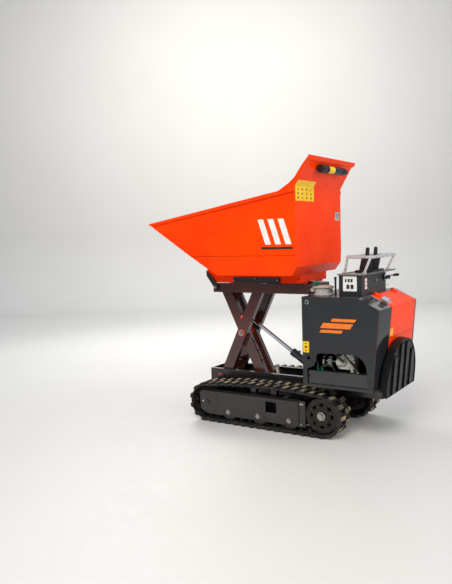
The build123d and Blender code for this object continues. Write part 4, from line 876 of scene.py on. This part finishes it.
# ---- return filter and hoses ------------------------------------------------------------------
def build_filter():
    """Cast return filter: ribbed bowl, clamp ring with lugs, domed lid, outlet, green cap and elbow."""
    low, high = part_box("return_filter")
    x, y = -0.452, 0.200
    base = low.z
    height = high.z - low.z
    bm = bmesh.new()
    bowl = [(0.0, 0.0), (0.074, 0.0), (0.074, 0.005), (0.063, 0.009), (0.060, 0.020), (0.060, 0.044)]
    ring = [(0.066, 0.049), (0.071, 0.051), (0.072, 0.053), (0.072, 0.058), (0.069, 0.0605)]
    lid = [(0.050, 0.0625), (0.044, 0.064), (0.043, 0.066), (0.020, 0.068), (0.0, 0.068)]
    scale = min(1.0, (height - 0.003) / lid[-1][1])
    profile = [(r, h * scale) for r, h in bowl + ring + lid]
    add_lathe(bm, profile, (x, y, base), (0, 0, 1), 64)
    for k in range(3):
        angle = math.radians(40 + 120 * k)
        ear = Vector((x + 0.066 * math.cos(angle), y + 0.066 * math.sin(angle), base + 0.052 * scale))
        matrix = Matrix.Translation(ear) @ Matrix.Rotation(angle, 4, "Z")
        add_box(bm, (-0.012, -0.011, -0.006), (0.014, 0.011, 0.006), 0.002, matrix)
    outlet = [(0.017, 0), (0.017, 0.012), (0.014, 0.014), (0.014, 0.030), (0, 0.030)]
    add_lathe(bm, outlet, (-0.392, 0.214, 1.034), (1, 0, 0), 28)
    for k in range(10):
        angle = 2 * math.pi * k / 10
        at = Vector((x + 0.0605 * math.cos(angle), y + 0.0605 * math.sin(angle), base + 0.010))
        add_tube(bm, [at, at + Vector((0, 0, 0.033 * scale))], 0.0022, 6, 0)
    body = add_piece("return_filter_casting", bm, CAST_ALUMINIUM, "chassis")
    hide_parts("return_filter")
    bm = bmesh.new()
    for k in range(3):
        angle = math.radians(40 + 120 * k)
        at = Vector((x + 0.072 * math.cos(angle), y + 0.072 * math.sin(angle), base + 0.058 * scale))
        add_bolt(bm, at, (0, 0, 1), 0.010)
    add_piece("return_filter_bolts", bm, ZINC, "chassis")
    bm = bmesh.new()
    cap = [(0.010, 0), (0.010, 0.006), (0.008, 0.008), (0.008, 0.020), (0, 0.022)]
    add_lathe(bm, cap, (-0.405, 0.165, base + 0.048 * scale), (0.7, -0.2, 0.5), 20)
    rise = [(-0.428, 0.202, 1.060), (-0.418, 0.212, 1.082), (-0.405, 0.224, 1.090)]
    add_tube(bm, [*rise, (-0.392, 0.234, 1.082), (-0.386, 0.238, 1.060)], 0.0095, 16, 6)
    add_piece("return_filter_caps", bm, GREEN_PLASTIC, "chassis")


def build_hoses():
    """Hydraulic hoses with crimped ferrules, following the CAD hoses' places."""
    pump = [(-0.655, 0.346, 0.560), (-0.655, 0.356, 0.562), (-0.640, 0.366, 0.580), (-0.600, 0.370, 0.620)]
    pump += [(-0.558, 0.364, 0.652), (-0.548, 0.350, 0.662), (-0.548, 0.331, 0.664)]
    tank = [(-0.520, 0.250, 0.638), (-0.520, 0.251, 0.625), (-0.540, 0.268, 0.617)]
    tank += [(-0.590, 0.290, 0.620), (-0.620, 0.290, 0.620), (-0.638, 0.290, 0.620)]
    back = [(-0.362, 0.214, 1.034), (-0.349, 0.214, 1.030), (-0.344, 0.214, 1.010), (-0.344, 0.214, 0.860)]
    back += [(-0.344, 0.214, 0.640), (-0.352, 0.214, 0.560), (-0.366, 0.214, 0.535)]
    valve = [(-0.670, 0.351, 0.620), (-0.670, 0.363, 0.617), (-0.684, 0.370, 0.600)]
    valve += [(-0.730, 0.366, 0.545), (-0.758, 0.356, 0.505), (-0.764, 0.354, 0.487)]
    routes = [(pump, 0.008), (tank, 0.008), (back, 0.008), (valve, 0.007)]
    bm = bmesh.new()
    for points, radius in routes:
        add_tube(bm, points, radius, 18, 10)
    hoses = add_piece("hydraulic_hose_set", bm, HOSE, "chassis")
    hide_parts("hydraulic_hoses")
    bm = bmesh.new()
    for points, radius in routes:
        for a, b in ((points[0], points[1]), (points[-1], points[-2])):
            way = (Vector(b) - Vector(a)).normalized()
            crimp = (
                (1.05, 0), (1.35, 0.001), (1.35, 0.004), (1.2, 0.006),
                (1.35, 0.008), (1.2, 0.010), (1.02, 0.012))
            nut = ((1.45, -0.003), (1.55, -0.001), (1.55, 0.0035), (1.4, 0.005))
            add_lathe(bm, [(radius * wide, h) for wide, h in crimp], a, way, 20)
            add_lathe(bm, [(radius * wide, h) for wide, h in nut], a, way, 6)
    add_piece("hose_ferrules", bm, ZINC, "chassis")


def build_pump_details():
    """Pump end plate bolts, ports, coupling jaws and fittings seen through the arch."""
    bm = bmesh.new()
    for x in (-0.690, -0.620):
        for z in (0.512, 0.578):
            add_bolt(bm, (x, 0.326, z), (0, 1, 0), 0.011)
    for z in (0.512, 0.578):
        add_bolt(bm, (-0.718, 0.324, z), (-0.4, 0.9, 0), 0.010)
    add_piece("pump_bolts", bm, ZINC, "chassis")
    bm = bmesh.new()
    plug = [(0.021, 0), (0.021, 0.006), (0.017, 0.008), (0.017, 0.016), (0.012, 0.018), (0, 0.018)]
    add_lathe(bm, plug, (-0.655, 0.326, 0.545), (0, 1, 0), 6)
    union = [
        (0.016, 0), (0.016, 0.010), (0.011, 0.012), (0.011, 0.026),
        (0.014, 0.027), (0.014, 0.034), (0, 0.035)]
    add_lathe(bm, union, (-0.712, 0.322, 0.556), (-0.3, 0.95, 0), 6)
    add_piece("pump_ports", bm, STEEL, "chassis")
    axis = PIVOTS["pump_shaft_spin"]
    bm = bmesh.new()
    for k in range(6):
        angle = 2 * math.pi * k / 6
        matrix = Matrix.Translation((-0.542, axis.y, axis.z)) @ Matrix.Rotation(angle, 4, "X")
        add_box(bm, (-0.014, -0.007, 0.022), (0.012, 0.007, 0.033), 0.002, matrix)
    for k in range(8):
        angle = 2 * math.pi * k / 8 + 0.2
        matrix = Matrix.Translation((-0.503, axis.y, axis.z)) @ Matrix.Rotation(angle, 4, "X")
        add_box(bm, (-0.004, -0.010, 0.034), (0.004, 0.010, 0.045), 0.0015, matrix)
    add_piece("pump_coupling_jaws", bm, PALE_CAST, "pump_drive_shaft")
    bm = bmesh.new()
    barb = [
        (0.009, 0), (0.009, 0.010), (0.006, 0.012), (0.006, 0.020),
        (0.009, 0.022), (0.009, 0.026), (0, 0.027)]
    for x in (-0.470, -0.500):
        add_lathe(bm, barb, (x, 0.352, 0.484), (0.2, 0, 1), 8)
    add_piece("drain_fittings", bm, GREEN_PLASTIC, "chassis")
    bm = bmesh.new()
    front = [(-0.470, 0.352, 0.510), (-0.462, 0.352, 0.540), (-0.440, 0.340, 0.580), (-0.420, 0.322, 0.640)]
    rear = [(-0.500, 0.352, 0.512), (-0.515, 0.356, 0.530), (-0.560, 0.352, 0.520)]
    rear += [(-0.585, 0.345, 0.500), (-0.590, 0.345, 0.486)]
    for points in (front, rear):
        add_tube(bm, points, 0.006, 12, 8)
    add_piece("drain_hoses", bm, HOSE, "chassis")


# ---- engine cover ------------------------------------------------------------------------------
def build_cover_details():
    """Screws and a blank label on the orange cover."""
    plate_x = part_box("engine_cover")[0].x
    bend_z, back_lean = 0.927, 0.0932
    screw = [(0.0065, 0), (0.0065, 0.0012), (0.0045, 0.003), (0, 0.0036)]
    bm = bmesh.new()
    for y, z in ((0.120, 0.760), (0.120, 0.880), (-0.330, 0.760), (-0.330, 0.880)):
        add_lathe(bm, screw, (plate_x + (bend_z - z) * back_lean, y, z), (-1, 0, -back_lean), 20)
    for y in (0.110, -0.320):
        add_lathe(bm, screw, (-0.840, y, 0.9725), (-0.435, 0, 0.9), 20)
    add_piece("cover_screws", bm, ZINC, "engine_cover")
    bm = bmesh.new()
    place = Matrix.Translation((plate_x + (bend_z - 0.745) * back_lean, 0.120, 0.745))
    tilt = Matrix.Rotation(-math.atan(back_lean), 4, "Y")
    add_box(bm, (-0.0006, -0.028, -0.026), (0, 0.028, 0.026), 0.0, place @ tilt)
    add_piece("cover_label", bm, YELLOW_LABEL, "engine_cover")


def build_latch():
    """Bright toggle latch on the cover's slope: seat with cheeks, curled lever, and a bright zinc strip at the
    cover's edge that is a painted highlight.
    """
    pivot = PIVOTS["cover_latch"]
    up = Vector((0.9003, 0, 0.4353))
    out = Vector((-0.4353, 0, 0.9003))
    seat = Vector((-0.879, 0, 0.9536))
    matrix = axes_matrix(up, (0, 1, 0), out, seat)
    lift = (Vector((seat.x, 0, pivot.z)) - seat).dot(out)
    bm = bmesh.new()
    add_box(bm, (-0.030, 0.062, 0.0), (0.030, 0.150, 0.0025), 0.001, matrix)
    for u in (-0.0265, 0.0240):
        add_box(bm, (u, 0.112, 0.002), (u + 0.0025, 0.148, lift + 0.007), 0.0008, matrix)
    for u, v in ((-0.018, 0.074), (0.018, 0.074), (-0.018, 0.098), (0.018, 0.098)):
        add_lathe(bm, [(0.0045, 0), (0.004, 0.0018), (0, 0.0028)], matrix @ Vector((u, v, 0.0025)), out, 14)
    add_lathe(bm, [(0.0034, -0.029), (0.0034, 0.029)], matrix @ Vector((0, pivot.y, lift)), up, 16)
    base = add_piece("latch_seat", bm, LATCH_ZINC, "engine_cover")
    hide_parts("latch_base")
    bm = bmesh.new()
    bow = ((0.106, 0.004), (0.116, 0.016), (0.134, 0.021), (0.166, 0.016), (0.184, 0.008), (0.198, 0.014))
    bow = [(v, lift + w) for v, w in bow]
    outline = [(v, w + 0.0016) for v, w in bow] + [(v, w - 0.0016) for v, w in reversed(bow)]
    add_prism(bm, outline, -0.0215, 0.0215, axis="x")
    for vert in bm.verts:
        vert.co = matrix @ vert.co
    add_lathe(bm, [(0.0062, -0.021), (0.0062, 0.021)], matrix @ Vector((0, pivot.y, lift)), up, 20)
    for u in (-0.0215, 0.0195):
        add_box(bm, (u, 0.122, lift - 0.005), (u + 0.002, 0.172, lift + 0.016), 0.0006, matrix)
    # Bright zinc strip where the cover meets the corner panel: a painted highlight of that edge.
    highlight_strip = bmesh.new()
    add_box(highlight_strip, (0.024, 0.158, 0.0), (0.104, 0.168, 0.0022), 0.0008, matrix)
    add_piece("corner_highlight_strip", highlight_strip, LATCH_ZINC, "chassis")
    lever = add_piece("latch_handle", bm, LATCH_ZINC, "latch_lever")
    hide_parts("latch_lever")


build_skip_welds()
build_skip_seams()
build_document_tube()
build_skip_labels()
build_centre_bolts()
build_lift_details()
build_arm_hose()
build_house_marks()
build_filter()
build_hoses()
build_pump_details()
build_cover_details()
build_latch()


# ---- console and levers ------------------------------------------------------------------------
def build_gaiters():
    """Ribbed rubber gaiters leaning from the console up to each lever."""
    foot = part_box("lever_bank")[1].z - 0.026
    for lever in ("travel_lever_left", "travel_lever_right", "lift_lever", "tip_lever"):
        pivot = PIVOTS[lever + "_swing"]
        tall = lever.startswith("travel")
        wide = 0.026 if tall else 0.019
        top = pivot.z + (0.082 if tall else 0.030)
        lean = -16 / 75 if tall else -10 / 45
        bm = bmesh.new()
        ribs = 7 if tall else 4
        rings = []
        count = ribs * 4
        for i in range(count + 1):
            t = i / count
            z = foot + (top - foot) * t
            taper = max(0.0, (t - 0.82) / 0.18) ** 2 if tall else t**1.2
            radius = wide * (1 - taper) + 0.0125 * taper
            radius += 0.0020 * math.sin(2 * math.pi * ribs * t) * (1 - 0.4 * t)
            shift = lean * max(0.0, z - pivot.z)
            squash = 1.6 if tall else 1.0
            middle = pivot.x + shift
            oval = [(middle + radius * squash * u, pivot.y + radius * v, z) for u, v in circle(1.0, 28)]
            rings.append([bm.verts.new(point) for point in oval])
        add_skin(bm, rings)
        gaiter = add_piece("gaiter_" + lever, bm, BOOT, None)
        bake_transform(gaiter)


def build_console_details():
    """Screws, blank labels, meter, key switch, knobs, filler cap and strut on the console."""
    low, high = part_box("console_box")
    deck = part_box("console_top")[1].z
    top_screw = [(0.006, 0), (0.006, 0.0012), (0.004, 0.003), (0, 0.0036)]
    rear_screw = [(0.0055, 0), (0.0055, 0.001), (0.004, 0.0026), (0, 0.003)]
    bm = bmesh.new()
    for x in (low.x + 0.018, high.x - 0.018):
        for y in (low.y + 0.02, (low.y + high.y) / 2, high.y - 0.02):
            add_lathe(bm, top_screw, (x, y, deck), (0, 0, 1), 20)
    for y in (low.y + 0.03, high.y - 0.12):
        add_lathe(bm, rear_screw, (low.x, y, low.z + 0.04), (-1, 0, 0), 18)
    add_piece("console_screws", bm, ZINC, "chassis")
    sheet = rounded_rect(-0.729, 1.036, -0.629, 1.139, 0.003)
    plate("console_plate", "y", high.y, [sheet], WHITE_PRINT, "chassis", 0.0012)
    upper = ((-0.700, -0.684), (-0.679, -0.663), (-0.655, -0.643))
    marks = [rounded_rect(left, 1.098, right, 1.122, 0.002) for left, right in upper]
    marks += [rounded_rect(left, 1.052, left + 0.022, 1.082, 0.003) for left in (-0.706, -0.676)]
    plate("console_plate_marks", "y", high.y + 0.0012, marks, DARK_PRINT, "chassis", 0.0003)
    strip = [rounded_rect(0.176, z, 0.214, z + 0.021, 0.002) for z in (1.047, 1.073, 1.099)]
    backing = rounded_rect(0.170, 1.042, 0.220, 1.125, 0.002)
    plate("console_label", "x", low.x, [backing], RED_PRINT, "chassis", -0.0005)
    plate("console_label_marks", "x", low.x - 0.0005, strip, WHITE_PRINT, "chassis", -0.0003)
    tape = rounded_rect(-0.784, 0.268, -0.600, 0.281, 0.003)
    plate("console_top_label", "z", deck, [tape], YELLOW_LABEL, "chassis", 0.0005)
    bm = bmesh.new()
    add_box(bm, (low.x - 0.007, -0.196, 1.080), (low.x, -0.152, 1.128), 0.002)
    add_piece("console_meter", bm, BLACK_PLASTIC, "chassis")
    dial = rounded_rect(-0.191, 1.085, -0.157, 1.123, 0.003)
    plate("console_meter_face", "x", low.x - 0.007, [dial], BLUE_PRINT, "chassis", -0.0006)
    bm = bmesh.new()
    barrel = [(0.010, 0), (0.010, 0.003), (0.007, 0.005), (0.007, 0.009), (0, 0.010)]
    add_lathe(bm, barrel, (low.x, -0.005, 1.095), (-1, 0, 0), 24)
    add_piece("console_key_switch", bm, ZINC, "chassis")
    bm = bmesh.new()
    for y, radius in ((low.y + 0.055, 0.013), (low.y + 0.095, 0.011)):
        knob = [(0.005, 0), (0.005, 0.010), (radius, 0.012), (radius, 0.026), (radius * 0.8, 0.030), (0, 0.031)]
        add_lathe(bm, knob, (low.x, y, high.z - 0.045), (-1, 0, 0), 24)
    add_piece("console_knobs", bm, BLACK_PLASTIC, "chassis")
    bm = bmesh.new()
    spout = [(0.015, 0), (0.015, 0.004), (0.012, 0.006), (0.012, 0.022), (0.004, 0.034), (0, 0.036)]
    add_lathe(bm, spout, (high.x - 0.045, low.y + 0.05, deck), (0, 0, 1), 28)
    cap = [(0.013, 0), (0.013, 0.004), (0.010, 0.006), (0.010, 0.012), (0, 0.013)]
    add_lathe(bm, cap, (low.x + 0.04, low.y + 0.04, deck), (0, 0, 1), 28)
    add_piece("console_filler_cap", bm, CAST_ALUMINIUM, "chassis")
    bm = bmesh.new()
    x = high.x + 0.012
    add_box(bm, (x - 0.006, high.y - 0.080, low.z + 0.010), (x + 0.006, high.y - 0.066, high.z - 0.020), 0.002)
    add_box(bm, (high.x - 0.002, high.y - 0.083, low.z + 0.050), (x, high.y - 0.063, low.z + 0.066), 0.002)
    add_piece("console_strut", bm, BLACK, "chassis")


def build_throttle_grip():
    """Dark grip on the end of the throttle lever."""
    start, end = Vector((-0.7945, -0.2888, 1.1108)), Vector((-0.8325, -0.2981, 1.1161))
    run = (end - start).length
    bm = bmesh.new()
    grip = [(0.007, -0.002), (0.0098, 0.001), (0.0104, run * 0.5), (0.0098, run - 0.002)]
    add_lathe(bm, [*grip, (0.006, run + 0.001), (0, run + 0.001)], start, end - start, 24)
    add_piece("throttle_grip", bm, BLACK_PLASTIC, "throttle_lever")


def build_lever_grips():
    """Moulded grips with finger rings over the travel levers."""
    for name in ("travel_lever_left", "travel_lever_right"):
        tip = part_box(name)[1].z
        pivot = PIVOTS[name + "_swing"]
        foot = Vector((pivot.x - 0.016, pivot.y, pivot.z + 0.072))
        head = Vector((pivot.x - 0.022, pivot.y, tip - 0.001))
        run = (head - foot).length
        bm = bmesh.new()
        profile = [(0.008, 0)]
        for k in range(1, 24):
            t = k / 24
            radius = 0.0128 + 0.0014 * math.sin(t * math.pi) + 0.0007 * math.cos(t * math.pi * 12)
            profile.append((radius, run * t * 0.97))
        profile += [(0.010, run * 0.985), (0.005, run), (0, run)]
        add_lathe(bm, profile, foot, head - foot, 24)
        add_piece("grip_" + name, bm, BLACK_PLASTIC, name)


build_gaiters()
build_console_details()
build_throttle_grip()
build_lever_grips()


# ---- tracks, hubs, rider step and tie rings --------------------------------------------------------
def build_track_details():
    """Tie-down mark, bracket bolts, weld, idler cap, a dark inner plate as painted shade in the gap above the
    frame, and roller bolt domes of each track frame.
    """
    for side_name, sign in (("left", 1), ("right", -1)):
        low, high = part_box("track_frame_" + side_name)
        face = high.y if sign > 0 else low.y
        mark = [(0.527, 0.155), (0.493, 0.179), (0.502, 0.155), (0.493, 0.132)]
        plate("tie_down_mark_" + side_name, "y", face, [mark], WHITE_PRINT, "chassis", sign * 0.0004)
        bm = bmesh.new()
        for x, z in ((-0.330, 0.225), (-0.330, 0.075), (-0.345, 0.225)):
            add_bolt(bm, (x, sign * 0.366, z), (0, sign, 0), 0.010)
        add_piece("bracket_bolts_" + side_name, bm, ZINC, "chassis")
        bm = bmesh.new()
        inner = face - sign * 0.001
        add_weld(bm, (-0.3055, inner, 0.065), (-0.3055, inner, 0.234), 0.0022)
        sill = inner + sign * 0.001
        add_tube(bm, [(-0.132, sill, 0.217), (-0.044, sill, 0.217)], 0.0016, 8, 0)
        idler = PIVOTS["idler_spin_" + side_name]
        cap = [(0.025, -0.001), (0.025, 0.006), (0.022, 0.0075), (0, 0.0078)]
        add_lathe(bm, cap, (idler.x, face, idler.z), (0, sign, 0), 32)
        # Dark plate in the gap between the belt's top run and the frame: painted shade, so the floor does not
        # show through.
        back = sorted((sign * 0.228, sign * 0.232))
        add_box(bm, (0.315, back[0], 0.236), (0.500, back[1], 0.266))
        add_piece("track_frame_beads_and_shade_plate_" + side_name, bm, TRACK_PAINT, "chassis")
        bm = bmesh.new()
        for number in (1, 2, 3):
            roller = PIVOTS[f"roller_spin_{side_name}_{number}"]
            dome = [(0.013, 0.0), (0.013, 0.002), (0.0115, 0.006), (0.007, 0.0095), (0, 0.0105)]
            add_lathe(bm, dome, (roller.x, face + sign * 0.006, roller.z), (0, sign, 0), 28)
        add_piece("roller_bolt_domes_" + side_name, bm, ZINC, "chassis")


def build_hub_nuts():
    """Zinc hub nuts on the sprockets, ends of the tip hinge pins and bolts of the skip's side strips."""
    for side_name, sign in (("left", 1), ("right", -1)):
        pivot = PIVOTS["sprocket_spin_" + side_name]
        low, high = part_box("drive_sprocket_" + side_name)
        face = high.y if sign > 0 else low.y
        bm = bmesh.new()
        at = (pivot.x, face - sign * 0.016, pivot.z)
        add_lathe(bm, [(0.031, 0), (0.031, 0.004), (0.029, 0.005), (0, 0.005)], at, (0, sign, 0), 36)
        add_lathe(bm, [(0.0225, 0.005), (0.0225, 0.014), (0.020, 0.017), (0.013, 0.017)], at, (0, sign, 0), 6)
        add_lathe(bm, [(0.011, 0.005), (0.011, 0.0195), (0.009, 0.021), (0, 0.021)], at, (0, sign, 0), 24)
        add_piece("hub_nut_" + side_name, bm, ZINC, "drive_sprocket_" + side_name)
    pivot = PIVOTS["skip_tip"]
    pin_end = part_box("upper_frame_pins")[1].y
    bm = bmesh.new()
    for sign in (1, -1):
        add_bolt(bm, (pivot.x, sign * pin_end, pivot.z), (0, sign, 0), 0.019, washer=False)
    add_piece("tip_pin_ends", bm, ZINC, "upper_frame")
    bm = bmesh.new()
    for sign in (1, -1):
        for x, z in ((0.330, 1.092), (0.140, 1.108), (-0.058, 1.096)):
            add_bolt(bm, (x, sign * 0.166, z), (0, sign, 0), 0.012, washer=False)
    add_piece("guard_strip_bolts", bm, ZINC, "skip")


def build_step_studs():
    """Bright worn caps on the rider step's grip studs."""
    hinge = PIVOTS["step_fold"]
    lean = math.radians(5.4)
    bm = bmesh.new()
    cos, sin = math.cos(lean), math.sin(lean)
    cap = [(0.0045, -0.001), (0.0042, 0.0006), (0, 0.0016)]
    away = 0.0432
    for y in (-0.120, 0.0, 0.120):
        for row in range(6):
            up = 0.028 + 0.038 * row
            at = (hinge.x - away * cos + up * sin, y, hinge.z + up * cos + away * sin)
            add_lathe(bm, cap, at, (-cos, 0, sin), 14)
    add_piece("step_stud_caps", bm, ZINC, "rider_step")


def build_tie_rings():
    """Zinc tie rings at the top front corner of both side panels."""
    bm = bmesh.new()
    ring = [(0.009, 0), (0.016, 0.0008), (0.0165, 0.0035), (0.0135, 0.0058), (0.0095, 0.005), (0.009, 0.0005)]
    for sign in (1, -1):
        add_lathe(bm, ring, (-0.409, sign * PANEL_Y, 0.966), (0, sign, 0), 32)
    add_piece("tie_rings", bm, ZINC, "chassis")


build_track_details()
build_hub_nuts()
build_tie_rings()
build_step_studs()


# ---- floor, light, camera ----------------------------------------------------------------------
def build_stage():
    """Pale floor that curves up into a backdrop, soft lights and a dim sky."""
    bm = bmesh.new()
    half, depth, bend = 9.0, 9.0, 1.5
    toward = Vector((0.5522, -0.8337))
    sideways = Vector((-toward.y, toward.x))
    profile = [(-6.0, 0.0), (depth - bend, 0.0)]
    for k in range(1, 13):
        turn = math.pi / 2 * k / 12
        profile.append((depth - bend + bend * math.sin(turn), bend - bend * math.cos(turn)))
    profile.append((depth, 7.0))
    rows = []
    for d, z in profile:
        centre = toward * d
        rows.append([bm.verts.new((*(centre + sideways * s), z)) for s in (-half, half)])
    for a, b in zip(rows, rows[1:]):
        bm.faces.new((a[0], a[1], b[1], b[0]))
    mesh = bpy.data.meshes.new("backdrop")
    bm.to_mesh(mesh)
    bm.free()
    mesh.shade_smooth()
    s = Shader("pale_floor")
    color = s.mix(s.span(s.noise(0.6, 2.0), 0.2, 0.8), rgb("c8c5bf"), rgb("ccc9c3"))
    mesh.materials.append(s.finish(color, s.span(s.noise(12.0), 0.3, 0.7, 0.5, 0.62), s.noise(90.0), 0.0003))
    floor = bpy.data.objects.new("backdrop", mesh)
    bpy.context.scene.collection.objects.link(floor)

    world = bpy.data.worlds.new("soft_sky")
    bpy.context.scene.world = world
    world.use_nodes = True
    tree = world.node_tree
    background = tree.nodes["Background"]
    coords = tree.nodes.new("ShaderNodeTexCoord")
    split = tree.nodes.new("ShaderNodeSeparateXYZ")
    ramp = tree.nodes.new("ShaderNodeValToRGB")
    tree.links.new(coords.outputs["Generated"], split.inputs["Vector"])
    tree.links.new(split.outputs["Z"], ramp.inputs["Fac"])
    tree.links.new(ramp.outputs["Color"], background.inputs["Color"])
    stops = ramp.color_ramp.elements
    stops[0].position, stops[0].color = 0.0, (0.42, 0.41, 0.40, 1)
    stops[1].position, stops[1].color = 0.06, (0.88, 0.92, 1.0, 1)
    top = stops.new(0.55)
    top.color = (0.62, 0.72, 0.88, 1)
    background.inputs["Strength"].default_value = 0.62

    def area(name, place, target, size, power, color, mirrored=False):
        light = bpy.data.lights.new(name, "AREA")
        light.shape = "RECTANGLE"
        light.size, light.size_y = size
        light.energy = power
        light.color = color
        lamp = bpy.data.objects.new(name, light)
        lamp.location = place
        lamp.rotation_mode = "QUATERNION"
        lamp.rotation_quaternion = (Vector(target) - Vector(place)).to_track_quat("-Z", "Y")
        lamp.visible_glossy = mirrored
        bpy.context.scene.collection.objects.link(lamp)

    middle = (0, 0, 0.9)
    area("key", (-1.5, 4.2, 4.4), middle, (2.6, 2.0), 240, (1.0, 0.97, 0.92))
    area("fill", (-5.0, 0.2, 2.6), middle, (3.0, 3.0), 145, (1.0, 0.97, 0.94))
    area("rim", (3.5, -2.5, 3.6), middle, (3.0, 2.0), 130, (1.0, 1.0, 1.0), True)
    area("front_fill", (4.0, 3.5, 1.8), middle, (2.5, 2.0), 45, (1.0, 0.98, 0.95))
    area("wall_wash", (2.2, -3.2, 6.0), (4.9, -7.5, 2.4), (6.0, 2.0), 430, (1.0, 1.0, 1.0))


def build_camera():
    """Camera behind the machine's left side, a little above the console, rolled slightly."""
    yaw, pitch, roll = (math.radians(degrees) for degrees in (33.5207, 5.0165, 1.7958))
    ahead = Vector((math.sin(yaw) * math.cos(pitch), -math.cos(yaw) * math.cos(pitch), -math.sin(pitch)))
    right = ahead.cross(Vector((0, 0, 1))).normalized()
    up = right.cross(ahead).normalized()
    tilt = Matrix.Rotation(roll, 3, ahead)
    right, up = tilt @ right, tilt @ up
    data = bpy.data.cameras.new("camera")
    data.lens = 40.02
    data.sensor_width = 36.0
    data.sensor_fit = "AUTO"
    data.clip_start, data.clip_end = 0.05, 60.0
    camera = bpy.data.objects.new("camera", data)
    camera.matrix_world = axes_matrix(right, up, -ahead, Vector((-2.421, 4.441, 1.4476)))
    bpy.context.scene.collection.objects.link(camera)
    bpy.context.scene.camera = camera


build_stage()
build_camera()
bpy.context.scene.view_settings.view_transform = "Standard"
